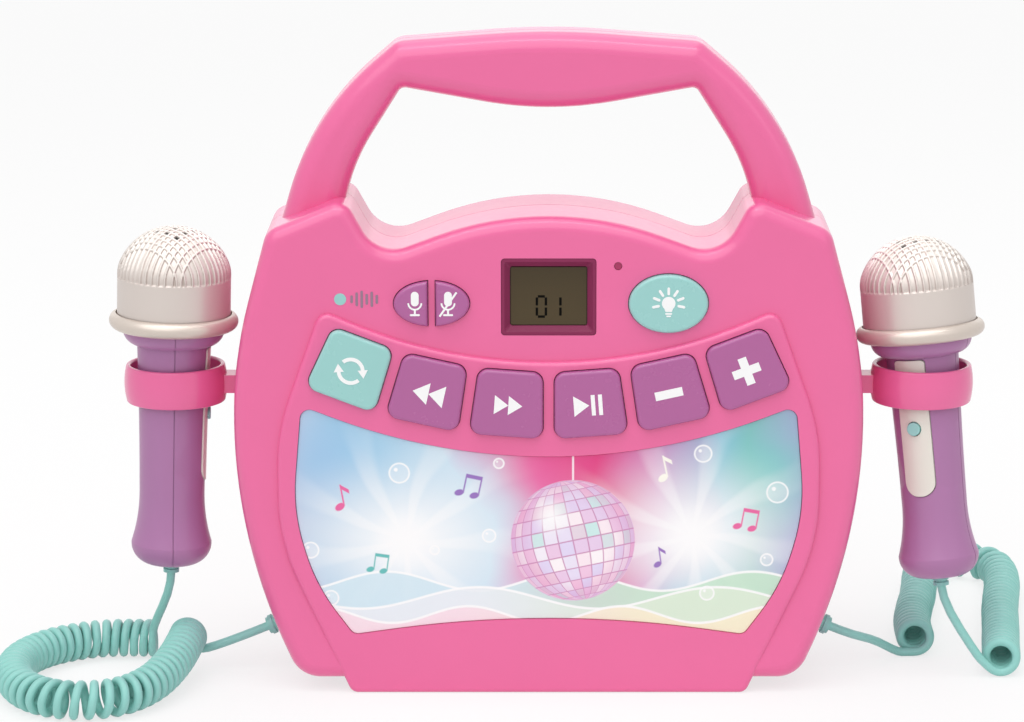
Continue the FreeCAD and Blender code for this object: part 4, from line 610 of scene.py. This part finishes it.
def curl_points(route, turns, start_deg, radius, reach, spread, per_turn=16):
    """Helix about a route on or above the floor: middle + radius (cos a side + sin a up).
    The phase a grows with distance times (1 - reach x curvature), which keeps the curls apart inside bends,
    and times (1 - spread sin(pi x share of the way)), which loosens them halfway along."""
    height = (FLOOR_GAP + CORD_R + CURL_R) * MM
    middle = mesh_points(spline_points(np.array(route, float) * MM + (0.0, 0.0, height)))
    length = np.concatenate([[0.0], np.cumsum(np.linalg.norm(np.diff(middle, axis=0), axis=1))])
    even = np.linspace(0.0, length[-1], ROUTE_SAMPLES)
    middle = np.column_stack([np.interp(even, length, middle[:, i]) for i in range(3)])
    way = unit(np.gradient(middle, even, axis=0))
    bend = np.abs(np.gradient(np.unwrap(np.arctan2(way[:, 1], way[:, 0])), even))
    window = np.ones(BEND_WINDOW) / BEND_WINDOW
    bend = np.convolve(np.pad(bend, BEND_WINDOW // 2, mode="edge"), window, mode="valid")
    rate = np.clip(1.0 - reach * bend, LEAST_CURL_RATE, 1.0)
    rate *= 1.0 - spread * np.sin(np.pi * even / length[-1])
    phase = np.concatenate([[0.0], np.cumsum((rate[1:] + rate[:-1]) / 2)])
    phase *= 2.0 * np.pi * turns / phase[-1]
    wanted = np.linspace(0.0, phase[-1], int(round(turns * per_turn)) + 1)
    centre = np.column_stack([np.interp(wanted, phase, middle[:, i]) for i in range(3)])
    way = unit(np.column_stack([np.interp(wanted, phase, way[:, i]) for i in range(3)]))
    side = unit(np.cross(way, (0.0, 0.0, 1.0)))
    up = np.cross(side, way)
    angle = (math.radians(start_deg) + wanted)[:, None]
    grown = radius / math.cos(math.pi / per_turn)
    return centre + grown * (np.cos(angle) * side + np.sin(angle) * up)


def mic_turn(side, more_deg=0.0):
    """Rotation of a microphone: turned about its own axis, leaning about Y, then tilted back about X."""
    stance = MIC_STANCE[side]
    turned_by = np.eye(3)
    for axis, angle in (("X", -stance["tilt"]), ("Y", stance["lean"]), ("Z", stance["turn"] + more_deg)):
        turned_by = turned_by @ np.array(Matrix.Rotation(math.radians(angle), 3, axis))
    return turned_by


def cord_controls(side, turns, radius, curl):
    """Control points of a whole cord in metres: gland, body lead, curls, microphone lead."""
    sign = np.array([-1.0 if side == "left" else 1.0, 1.0, 1.0])
    curls = curl_points(CURL_ROUTES[side], turns, CURL_STARTS[side], curl, radius + curl, CURL_SPREAD[side])
    if side == "left":
        curls = curls[::-1]
    axis = mic_turn(side)[:, 2]
    tip = np.array(MIC_STANCE[side]["base"]) * MM - axis * RELIEF_LENGTH * MM
    mouth, leaving = np.array(GLAND_MOUTH) * sign * MM, np.array(GLAND_WAY) * sign
    run, away, near, out = LEAD_END_RUN * MM, MIC_END_RUN * MM, CURL_END_RUN * MM, 2 * radius
    first, last = (unit(3.0 * (c[0] - c[1]) - (c[1] - c[2])) for c in (curls, curls[::-1]))
    start, end = curls[0] + first * out, curls[-1] + last * out
    body = [mouth, mouth + leaving * run] + [np.array(p) * MM for p in BODY_LEAD_POINTS[side]]
    body += [start + first * near, start]
    mic = [end, end + last * near, tip - axis * away, tip]
    lowest = FLOOR_GAP * MM + radius
    body, mic = (np.column_stack([p[:, :2], np.maximum(p[:, 2], lowest)]) for p in map(np.array, (body, mic)))
    return np.vstack([body, curls, mic])


# Picture panel

class Picture:
    """Layers of a printed picture: masks on flat coordinates, mixed one over another."""

    def __init__(self, finish, x, z, ground):
        self.finish, self.x, self.z, self.shade = finish, x, z, ground

    def lay(self, mask, shade, strength=1.0):
        """Lay a colour over what is there, where the mask is 1."""
        factor = mask * strength if strength != 1.0 else mask
        self.shade = self.finish.mix(factor, self.shade, shade)

    def local(self, x, z, turn_deg=0.0, scale=1.0):
        """Coordinates about a middle, turned and in units of a scale."""
        c, s = math.cos(math.radians(turn_deg)) / scale, math.sin(math.radians(turn_deg)) / scale
        dx, dz = self.x - x, self.z - z
        return dx * c + dz * s, dz * c - dx * s

    def radius(self, u, v):
        """Distance from the middle."""
        return self.finish.maths("SQRT", u * u + v * v)

    def below(self, value, limit, soft):
        """1 where a value is under a limit."""
        return 1.0 - self.finish.smooth(value, limit - soft, limit + soft)

    def glow(self, x, z, reach, shade, strength, squeeze=1.0):
        """Round soft glow, wider than high by a squeeze."""
        u, v = self.local(x, z)
        self.lay(self.below(self.radius(u / squeeze, v), reach / 2, reach / 2), shade, strength)

    def box(self, u, v, u0, u1, v0, v1, soft):
        """1 inside a rectangle."""
        across = self.below(abs(u - (u0 + u1) / 2), (u1 - u0) / 2, soft)
        return across * self.below(abs(v - (v0 + v1) / 2), (v1 - v0) / 2, soft)

    def note(self, x, z, scale, turn_deg, shade, pair):
        """Music note: oval head, stem and a flag, or two heads under a beam."""
        u, v = self.local(x, z, turn_deg, scale)
        soft = 0.3 / scale
        mask = None
        for shift in ((0.0, 4.6) if pair else (0.0,)):
            head = self.below(self.radius((u - shift) / 1.35, v - (u - shift) * 0.25), 1.0, soft)
            stem = self.box(u, v, shift + 0.95, shift + 1.4, 0.0, 6.0, soft)
            both = self.finish.maths("MAXIMUM", head, stem)
            mask = both if mask is None else self.finish.maths("MAXIMUM", mask, both)
        lean = (u - 1.0) * (0.0 if pair else -0.8)
        cap = self.box(u, v - lean, 0.95, 6.0 if pair else 3.2, 4.9, 6.1, soft)
        self.lay(self.finish.maths("MAXIMUM", mask, cap), shade)

    def bubble(self, x, z, radius, shade):
        """Ring with a small gleam."""
        u, v = self.local(x, z)
        away = self.radius(u, v)
        self.lay(self.below(away, radius, 0.3), shade, 0.22)
        self.lay(self.below(abs(away - radius), 0.35, 0.25), shade, 0.85)
        u, v = self.local(x - radius * 0.35, z + radius * 0.35)
        self.lay(self.below(self.radius(u, v), radius * 0.2, 0.3), paint(255, 255, 255), 0.9)

    def mirror_ball(self, x, z, radius):
        """Faceted ball: rows of latitude and columns of longitude, each facet in its own pastel."""
        finish = self.finish
        u, v = self.local(x, z, 12.0, radius)
        away = self.radius(u, v)
        inside = self.below(away, 1.0, 0.012)
        depth = finish.maths("SQRT", finish.maths("MAXIMUM", 1.0 - away * away, 0.0005))
        held = finish.maths("MAXIMUM", finish.maths("MINIMUM", v, 0.999), -0.999)
        rows = finish.maths("ARCSINE", held) * FACETS_PER_RADIAN
        columns = finish.maths("ARCTAN2", u, depth) * FACETS_PER_RADIAN
        cell = finish.node("CombineXYZ", 0, None, {
            0: finish.maths("FLOOR", columns), 1: finish.maths("FLOOR", rows)})
        chance = finish.node("TexWhiteNoise", 0, {"noise_dimensions": "2D"}, {"Vector": cell})
        pastel = finish.node("ValToRGB", 0, {"ramp": (
            (0.0, paint(252, 226, 238)), (0.25, paint(255, 250, 252)), (0.5, paint(226, 214, 246)),
            (0.75, paint(250, 196, 222)), (1.0, paint(206, 238, 236)))}, {0: chance})
        edge = finish.maths(
            "MINIMUM", finish.maths("PINGPONG", columns, 0.5), finish.maths("PINGPONG", rows, 0.5))
        self.lay(inside, pastel)
        self.lay(inside * self.below(edge, 0.045, 0.03), paint(196, 120, 170), 0.8)
        self.lay(inside * finish.smooth(away, 0.55, 1.05), paint(214, 128, 190), 0.5)
        shine_u, shine_v = self.local(x - radius * 0.35, z + radius * 0.4, 0.0, radius)
        self.lay(self.below(self.radius(shine_u, shine_v), 0.2, 0.2), paint(255, 255, 255), 0.85)

    def wave(self, height, swing, length, shift, shade, edge):
        """Band under a sine line, with a pale edge along it."""
        finish = self.finish
        line = finish.maths("SINE", (self.x + shift) * (2 * math.pi / length)) * swing + height
        rise = self.z - line
        self.lay(self.below(rise, 0.0, 0.35), shade, 0.9)
        self.lay(self.below(abs(rise), 0.5, 0.3), edge, 0.9)


def picture_finish():
    """Printed picture lit from behind: soft coloured light, a mirror ball, notes, bubbles and waves."""
    finish = Finish("picture_print", Roughness=0.22, Coat_Weight=0.5, Coat_Roughness=0.08, IOR=1.5,
                    Emission_Strength=0.12)
    point = finish.point()
    x, z = finish.along("X", point), finish.along("Z", point)
    drift = finish.noise(point, 0.018, 2.0)
    across = (x + (drift - 0.5) * 60.0 + 104.0) / 208.0
    ground = finish.node("ValToRGB", 0, {"ramp": (
        (0.0, paint(200, 208, 230)), (0.14, paint(160, 206, 234)), (0.34, paint(200, 226, 242)),
        (0.47, paint(236, 120, 180)), (0.58, paint(222, 44, 124)), (0.68, paint(206, 130, 190)),
        (0.8, paint(132, 194, 218)), (0.9, paint(126, 190, 190)), (1.0, paint(160, 170, 208)))}, {0: across})
    picture = Picture(finish, x, z, ground)
    white = paint(255, 255, 255)
    picture.glow(6, 112, 52, paint(232, 40, 132), 0.75, 0.9)
    picture.glow(88, 92, 30, paint(120, 206, 200), 0.8)
    picture.glow(-92, 98, 34, paint(140, 194, 234), 0.6)
    for glow_x, glow_z in ((-58, 64), (58, 66)):
        beam_u, beam_v = picture.local(glow_x, glow_z)
        spokes = finish.maths("SINE", finish.maths("ARCTAN2", beam_v, beam_u) * 9.0 + drift * 5.0)
        fade = picture.below(picture.radius(beam_u, beam_v), 34.0, 34.0)
        picture.lay(finish.smooth(spokes, 0.1, 0.9) * fade, white, 0.45)
        picture.glow(glow_x, glow_z, 44, white, 0.95, 1.35)
        picture.glow(glow_x, glow_z, 16, white, 1.0)
    right = finish.smooth(x, -40.0, 50.0)
    for wave, left_shade, right_shade in (
            ((47, 4.0, 74, 10), (212, 234, 244), (200, 232, 206)),
            ((40, 4.5, 96, 52), (236, 240, 246), (222, 238, 216)),
            ((33, 3.5, 62, -14), (250, 222, 232), (250, 240, 208))):
        picture.wave(*wave, finish.mix(right, paint(*left_shade), paint(*right_shade)), white)
    picture.lay(picture.box(x, z, 9.4, 10.2, 70, 120, 0.2), paint(255, 240, 248), 0.9)
    picture.mirror_ball(9.8, 64, 25)
    pink, violet = paint(236, 96, 160), paint(150, 110, 190)
    teal, cream = paint(96, 190, 186), paint(255, 252, 240)
    for note in ((-84, 78, 1.5, 10, pink, False), (-36, 84, 1.35, -12, violet, True),
                 (-72, 52, 1.15, -8, teal, True), (46, 90, 1.5, 12, cream, False),
                 (76, 70, 1.3, -10, pink, True), (44, 54, 1.2, 8, violet, False)):
        picture.note(*note)
    for spot in ((-96, 60, 3.2), (-60, 92, 4.0), (-24, 66, 2.6), (-46, 60, 1.8), (62, 100, 3.4),
                 (92, 84, 4.2), (88, 56, 2.4), (-88, 40, 3.0), (64, 42, 2.8), (-20, 96, 2.0)):
        picture.bubble(*spot, white)
    grain = finish.noise(point, 2.2, 1.0)
    finish.set(Base_Color=finish.mix(0.15, picture.shade, (0.0, 0.0, 0.0)), Emission_Color=picture.shade,
               Normal=finish.bump(grain, 0.003))
    return finish.material


# Microphone heads

def dome_profile(count):
    """Radius, height and lean of the outward normal along the head.
    It is a cylinder, a shoulder arc and a crown arc tangent to it."""
    turn, tall = HEAD_SHOULDER_R, HEAD_DOME
    shoulder = HEAD_BASE_Z + HEAD_CYLINDER
    crown = ((HEAD_R - turn) ** 2 + tall ** 2 - turn ** 2) / (2 * (tall - turn))
    low, high = (HEAD_R - turn, shoulder), (0.0, shoulder + tall - crown)
    angle = math.atan2(low[1] - high[1], low[0])
    lengths = np.cumsum([0.0, HEAD_CYLINDER, turn * angle, crown * (np.pi / 2 - angle)])
    along = np.linspace(0.0, lengths[-1], count)
    on_shoulder = (along >= lengths[1]) & (along < lengths[2])
    on_crown = along >= lengths[2]
    lean = np.where(on_shoulder, (along - lengths[1]) / turn, 0.0)
    lean = np.where(on_crown, angle + (along - lengths[2]) / crown, lean)
    parts = [on_crown, on_shoulder]
    size = np.select(parts, [crown, turn], HEAD_R)
    r = np.select(parts, [high[0], low[0]], 0.0) + size * np.cos(lean)
    rise = size * np.sin(lean)
    z = np.select(parts, [high[1] + rise, low[1] + rise], HEAD_BASE_Z + along)
    return r, z, lean


def lattice_head(detail, columns=520, rows=170):
    """Grid of a head in its own frame, with painted light and shade on its coat, from 0 shaded to 1 lit, and
    its hole mask.
    Pockets are sunk along the normal between ribs that stand on upright planes, x = (k + 1/2) p and y alike,
    as far out as the lattice reaches; painted light brightens the coat towards the crown, painted shade
    darkens the pockets, and a painted shadow lies along the edge of each pocket that is nearest to the crown."""
    r, z, lean = dome_profile(rows)
    around = np.linspace(0.0, 2.0 * np.pi, columns, endpoint=False)
    circle = np.column_stack([np.cos(around), np.sin(around), np.ones(columns)])
    normal = np.column_stack([np.cos(lean), np.cos(lean), np.sin(lean)])[:, None] * circle
    points = np.column_stack([r, r, z])[:, None] * circle
    names = ("pitch", "rib", "depth", "foot", "reach")
    pitch, rib, depth, foot, reach = (getattr(detail, "lattice_" + name) / MM for name in names)
    pocket, shade = np.ones(points.shape[:2]), np.zeros(points.shape[:2])
    cells = []
    for axis in (0, 1):
        across = points[..., axis]
        cell = np.round(across / pitch)
        to_plane = pitch / 2 - np.abs(across - cell * pitch)
        on_surface = to_plane / np.sqrt(np.clip(1.0 - normal[..., axis] ** 2, LEAST_SLOPE, 1.0))
        ribbed = pitch * (np.floor(np.abs(across) / pitch) + 0.5) <= reach
        off_rib = on_surface - rib / 2
        pocket *= np.where(ribbed, step_up(0.0, RIB_FLANK, off_rib), 1.0)
        # Painted shadow along the edge of each pocket nearest the crown
        inner = ribbed & (np.abs(across) < np.abs(cell) * pitch)
        shade = np.maximum(shade, inner * (1.0 - step_up(*SHADE_EDGE, off_rib)))
        cells.append(cell)
    band = step_up(HEAD_BASE_Z + foot, HEAD_BASE_Z + foot + BAND_EDGE, z)[:, None]
    odd = (np.abs(cells[0]) % 2 == 1) & (np.abs(cells[1]) % 2 == 1)
    near = cells[0] ** 2 + cells[1] ** 2 < HOLE_CELLS_SQUARED
    hole = pocket * odd * near * (z > HEAD_BASE_Z + HEAD_CYLINDER)[:, None]
    sunk = depth * pocket * band + HOLE_DEPTH * hole
    grid = points - normal * sunk[..., None]
    inset = (HEAD_R - HEAD_SKIN) / HEAD_R
    lip = points[:1] * (inset, inset, 1.0)
    # Painted light and shade: the dome brighter towards the crown, the pockets darker, a painted shadow along
    # their inner edges, and the plain band at one lit level
    ribs = (SIDE_PAINTED_LIGHT + CROWN_PAINTED_LIGHT * np.sin(lean))[:, None]
    ribs = ribs * (1.0 - POCKET_PAINTED_SHADE * pocket - SHADE_LOSS * pocket * shade)
    coat = BAND_PAINTED_LIGHT * (1.0 - band) + ribs * band
    marks = np.stack([coat, hole], axis=-1)
    return np.concatenate([lip, grid]), np.concatenate([marks[:1], marks])


def lattice_finish(dark, bright):
    """Satin metallic coat, mixed from its shaded to its lit tone by the baked painted light and shade, and
    black in the holes.
    """
    finish = Finish("lattice_metal", IOR=1.5)
    point = finish.point()
    flakes = finish.noise(point, 6.0, 1.0)
    # coat is the head's baked painted light and shade
    coat = finish.node("Attribute", "Fac", {"attribute_name": "coat"})
    hole = finish.node("Attribute", "Fac", {"attribute_name": "hole"})
    painted_tone = finish.mix(coat, dark, bright)
    finish.set(Base_Color=finish.mix(hole, painted_tone, (0.012, 0.011, 0.01)),
               Metallic=0.35 - hole * 0.35, Roughness=(flakes - 0.5) * 0.16 + 0.4,
               Normal=finish.bump(flakes, 0.008))
    return finish.material


# Operators

class KARAOKE_OT_stage(bpy.types.Operator):
    """Set the floor, the lights and the camera"""

    bl_idname = "karaoke.stage"
    bl_label = "Studio"

    def execute(self, context):
        studio = context.scene.karaoke_studio
        self.floor(studio)
        self.world(context.scene, studio)
        for lamp in LAMPS:
            self.lamp(*lamp)
        self.sun(studio)
        self.camera(context.scene, studio)
        context.scene.view_settings.view_transform = "Standard"
        return {"FINISHED"}

    def floor(self, studio):
        """Wide pale floor, lifted towards white where the camera sees it."""
        finish = Finish("floor_paper", Roughness=0.9, Specular_IOR_Level=0.1)
        point = finish.point()
        shade = tuple(studio.floor)
        finish.set(Base_Color=finish.mix(finish.noise(point, 0.01), tint(shade, 0.99), shade))
        white = finish.node("Emission", 0, None, {"Color": (1.0, 1.0, 1.0), "Strength": 1.0})
        lit = Term(finish, finish.shader.outputs[0])
        lifted = finish.node("MixShader", 0, None, {0: finish.seen() * studio.floor_lift, 1: lit, 2: white})
        finish.feed(finish.tree.nodes["Material Output"].inputs["Surface"], lifted)
        mesh = bpy.data.meshes.new("floor")
        corners = np.array([(-1, -1, 0), (1, -1, 0), (1, 1, 0), (-1, 1, 0)]) * FLOOR_REACH
        mesh.from_pydata(corners, [], [(0, 1, 2, 3)])
        mesh.materials.append(finish.material)
        add_object("floor", mesh)

    def world(self, scene, studio):
        """Even pale light, white to the camera and in reflections."""
        world = bpy.data.worlds.new("studio")
        world.use_nodes = True
        nodes = Nodes(world.node_tree)
        background = world.node_tree.nodes["Background"].inputs
        nodes.feed(background["Color"], (1.0, 1.0, 1.0))
        nodes.feed(background["Strength"], nodes.seen() * (1.0 - studio.world) + studio.world)
        scene.world = world

    def sun(self, studio):
        """Very soft daylight from the upper front left, even over the whole floor."""
        data, _ = self.light("daylight", "SUN", studio.sun, SUN_WAY)
        data.angle = math.radians(SUN_ANGLE_DEG)

    def lamp(self, name, place, size, watts):
        """Soft light of a width and height, aimed at the machine."""
        data, lamp = self.light(name, "AREA", watts, np.array(LAMP_AIM) - np.array(place))
        data.shape = "RECTANGLE"
        data.size, data.size_y = size
        lamp.visible_camera = False
        lamp.location = place

    def light(self, name, kind, energy, aim):
        """Light that shines along a direction: its data and its object."""
        data = bpy.data.lights.new(name, kind)
        data.energy = energy
        lamp = add_object(name, data)
        lamp.rotation_euler = self.facing(aim)
        return data, lamp

    @staticmethod
    def facing(aim):
        """Euler angles that point -Z along a direction and keep Y up."""
        flat = math.hypot(aim[0], aim[1])
        return (math.atan2(flat, -aim[2]), 0.0, math.atan2(-aim[0], aim[1]))

    def camera(self, scene, studio):
        """Camera in front of the machine, a little above it."""
        data = bpy.data.cameras.new("camera")
        data.sensor_width = SENSOR_WIDTH_MM
        data.lens = studio.lens
        data.shift_x, data.shift_y = CAMERA_SHIFT
        data.clip_end = CLIP_END
        back = np.array([0.0, -math.cos(studio.elevation), math.sin(studio.elevation)])
        camera = add_object("camera", data)
        camera.location = np.array(CAMERA_TARGET) + studio.distance * back
        camera.rotation_euler = self.facing(-back)
        scene.camera = camera


class KARAOKE_OT_cords(bpy.types.Operator):
    """Lay the two curly cords from the case to the microphones"""

    bl_idname = "karaoke.cords"
    bl_label = "Curly cords"

    def execute(self, context):
        sizes, colours = context.scene.karaoke_cords, context.scene.karaoke_colours
        material = moulded("cord_sheath", colours.cord, roughness=0.42, cloud=0.06, peel_mm=0.02)
        for side in SIDES:
            self.lay(side, getattr(sizes, side + "_turns"), sizes.radius, sizes.curl, material)
            dress(material, side + "_cord_gland", side + "_mic_relief")
        return {"FINISHED"}

    def lay(self, side, turns, radius, curl, material):
        """One cord as a tube on its own spline."""
        controls = cord_controls(side, turns, radius, curl)
        path = mesh_points(spline_points(controls, dense=4))
        mesh = smoothed(spline_points(controls, radius, 3))
        piece = add_piece(side + "_cord", mesh, material, None)
        side + "_mic"
        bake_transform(piece)
        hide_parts(side + "_curls", side + "_mic_lead", side + "_body_lead")
        2 * radius


class KARAOKE_OT_case(bpy.types.Operator):
    """Finish the shells, the handle, the rings and what the back shows"""

    bl_idname = "karaoke.case"
    bl_label = "Case"

    def execute(self, context):
        colours = context.scene.karaoke_colours
        case = moulded("case_pink", colours.case, roughness=0.34, coat=0.5)
        dress(case, "front_shell", "rear_shell", "handle_front", "handle_rear", "battery_tray",
              "battery_door", "left_mic_ring", "right_mic_ring")
        dress(moulded("slider_purple", colours.key), "power_slider")
        for name, shade, roughness, nodes in (
                ("board_green", (40, 110, 60), 0.5, ("led_board", "control_board")),
                ("reflector_white", (240, 240, 240), 0.4, ("light_box", "leds")),
                ("inner_black", (24, 24, 26), 0.55, ("tact_switches", "power_switch", "speaker_cone",
                                                     "left_mic_capsule", "right_mic_capsule")),
                ("cell_jacket", (70, 90, 120), 0.4, ("battery_cells",))):
            dress(moulded(name, paint(*shade), roughness), *nodes)
        dress(sprayed_metal("bright_steel", paint(190, 190, 194)), "case_screws", "battery_door_screws",
              "battery_contacts", "speaker_frame")
        dress(sprayed_metal("magnet_dark", paint(70, 70, 74)), "speaker_magnet")
        self.level_marks(context)
        return {"FINISHED"}

    def level_marks(self, context):
        """Recording dot and level bars printed on the case."""
        colours, thickness = context.scene.karaoke_colours, context.scene.karaoke_detail.ink_thickness / MM
        dot = slab("record_dot", [disc(*RECORD_DOT, RECORD_DOT_R)], CASE_FACE_Y, thickness)
        add_piece("record_dot", dot, moulded("dot_ink", colours.accent), "machine")
        bars = []
        for index, height in enumerate(LEVEL_BAR_HEIGHTS):
            x, z = LEVEL_BARS_X + LEVEL_BAR_PITCH * index, RECORD_DOT[1]
            bars.append(pill(x, z - height / 2, x, z + height / 2, LEVEL_BAR_WIDTH))
        mesh = slab("level_bars", bars, CASE_FACE_Y, thickness)
        grey = moulded("grey_ink", colours.grey_ink)
        add_piece("level_bars", mesh, grey, "machine")


class KARAOKE_OT_keys(bpy.types.Operator):
    """Finish the keys and print their symbols"""

    bl_idname = "karaoke.keys"
    bl_label = "Keys"

    def execute(self, context):
        colours, thickness = context.scene.karaoke_colours, context.scene.karaoke_detail.ink_thickness / MM
        purple = moulded("key_purple", colours.key, roughness=0.26, coat=0.3)
        teal = moulded("key_teal", colours.accent, roughness=0.26, coat=0.3)
        ink = moulded("white_ink", colours.ink, roughness=0.4, cloud=0.01)
        dress(teal, "key_mode", "key_light")
        dress(purple, *(k for k in (*KEY_SYMBOLS, *OVAL_SYMBOLS) if k not in ("key_mode", "key_light")))
        for index, (name, shapes) in enumerate(KEY_SYMBOLS.items()):
            angle = (index - (len(KEY_SYMBOLS) - 1) / 2) * FAN_PITCH_DEG
            a = math.radians(angle)
            middle = (FAN_MID_R * math.sin(a), FAN_Z - FAN_MID_R * math.cos(a))
            placed = [turned(shape, angle, middle) for shape in shapes]
            self.symbol(name, placed, FAN_FACE_Y, thickness, ink)
        for name, (middle, shapes) in OVAL_SYMBOLS.items():
            self.symbol(name, [shape + middle for shape in shapes], OVAL_FACE_Y, thickness, ink)
        return {"FINISHED"}

    def symbol(self, name, shapes, face_y, thickness, ink):
        """Symbol on one key."""
        mesh = slab(name + "_symbol", shapes, face_y, thickness)
        add_piece(name + "_symbol", mesh, ink, name)


class KARAOKE_OT_display(bpy.types.Operator):
    """Finish the display, its surround and its lamp"""

    bl_idname = "karaoke.display"
    bl_label = "Display"

    def execute(self, context):
        colours = context.scene.karaoke_colours
        surround = moulded("surround_magenta", colours.surround, roughness=0.4, gloss=0.2)
        dress(surround, "lcd_window")
        dress(self.glass(colours.glass), "lcd_module")
        dress(moulded("lens_red", paint(166, 34, 90), roughness=0.3, coat=0.2), "indicator_lens")
        ink = moulded("segment_ink", paint(14, 12, 8), roughness=0.6, peel_mm=0.002, gloss=0.05)
        shapes = []
        for shift, lit in DIGITS:
            shapes += [segment(letter, DIGIT_HEIGHT, DIGIT_WIDTH) + (shift, DIGITS_Z) for letter in lit]
        mesh = slab("display_digits", shapes, LCD_FACE_Y, DIGIT_INK, 0.02)
        add_piece("display_digits", mesh, ink, "machine")
        return {"FINISHED"}

    def glass(self, shade):
        """Display glass: a slow gradient, darker towards the top, and fine cells."""
        finish = Finish("display_glass", Roughness=0.2, Specular_IOR_Level=0.25, IOR=1.5)
        point = finish.point()
        rise = finish.smooth(finish.along("Z", point), 148.0, 180.0)
        cells = finish.noise(point, 3.0, 1.0)
        fade = rise * 0.7 + (cells - 0.5) * 0.2
        finish.set(Base_Color=finish.mix(fade, tint(shade, 1.12), tint(shade, 0.8)))
        return finish.material


class KARAOKE_OT_picture(bpy.types.Operator):
    """Print the picture panel"""

    bl_idname = "karaoke.picture"
    bl_label = "Picture panel"

    def execute(self, context):
        dress(picture_finish(), "light_panel")
        return {"FINISHED"}


class KARAOKE_OT_microphones(bpy.types.Operator):
    """Finish the microphones and cut the lattice of their heads"""

    bl_idname = "karaoke.microphones"
    bl_label = "Microphones"

    def execute(self, context):
        colours, detail = context.scene.karaoke_colours, context.scene.karaoke_detail
        handle = moulded("handle_purple", colours.microphone, roughness=0.36)
        metal = sprayed_metal("champagne", colours.metal)
        # The heads' coat mixes their painted shade and painted light tones
        lattice = lattice_finish(tuple(colours.head_painted_shade), tuple(colours.head_painted_light))
        strip = moulded("strip_beige", colours.strip, roughness=0.35, cloud=0.02)
        button = moulded("button_teal", colours.accent, roughness=0.3)
        grid, marks = lattice_head(detail)
        for side in SIDES:
            dress(handle, side + "_mic_handle_front", side + "_mic_handle_back")
            dress(metal, side + "_mic_collar")
            dress(strip, side + "_mic_strip")
            dress(button, side + "_mic_button")
            self.head(side, grid, marks, lattice)
        return {"FINISHED"}

    def head(self, side, grid, marks, material):
        """Head of one microphone, in its place."""
        stance = MIC_STANCE[side]
        points = grid @ mic_turn(side, stance["head"]).T + np.array(stance["base"])
        mesh = wrapped_surface(side + "_lattice_head", points)
        # coat carries the baked painted light and shade, hole the hole mask
        for name, values in zip(("coat", "hole"), np.moveaxis(marks, -1, 0)):
            layer = mesh.attributes.new(name, "FLOAT", "POINT")
            layer.data.foreach_set("value", values.ravel().astype(np.float32))
        piece = add_piece(side + "_lattice_head", smoothed(cleaned(mesh, 0.0005)), material,
                          side + "_mic")
        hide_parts(side + "_mic_grille")


class KARAOKE_PT_sidebar(bpy.types.Panel):
    """Lists the steps that dress the machine"""

    bl_idname = "KARAOKE_PT_sidebar"
    bl_label = "Karaoke machine"
    bl_space_type = "VIEW_3D"
    bl_region_type = "UI"
    bl_category = "Karaoke"

    def draw(self, context):
        for operator in OPERATORS:
            self.layout.operator(operator.bl_idname)


OPERATORS = (KARAOKE_OT_stage, KARAOKE_OT_cords, KARAOKE_OT_case, KARAOKE_OT_keys, KARAOKE_OT_display,
             KARAOKE_OT_picture, KARAOKE_OT_microphones)
CLASSES = (*PROPERTY_GROUPS.values(), *OPERATORS, KARAOKE_PT_sidebar)


def register():
    """Add the classes and the scene's properties."""
    for item in CLASSES:
        bpy.utils.register_class(item)
    for name, group in PROPERTY_GROUPS.items():
        setattr(bpy.types.Scene, name, bpy.props.PointerProperty(type=group))


def unregister():
    """Remove the scene's properties and the classes."""
    for name in PROPERTY_GROUPS:
        delattr(bpy.types.Scene, name)
    for item in reversed(CLASSES):
        bpy.utils.unregister_class(item)


def main():
    """Dress the machine."""
    register()
    bpy.ops.karaoke.stage()
    bpy.ops.karaoke.cords()
    bpy.ops.karaoke.case()
    bpy.ops.karaoke.keys()
    bpy.ops.karaoke.display()
    bpy.ops.karaoke.picture()
    bpy.ops.karaoke.microphones()


if __name__ == "__main__":
    main()
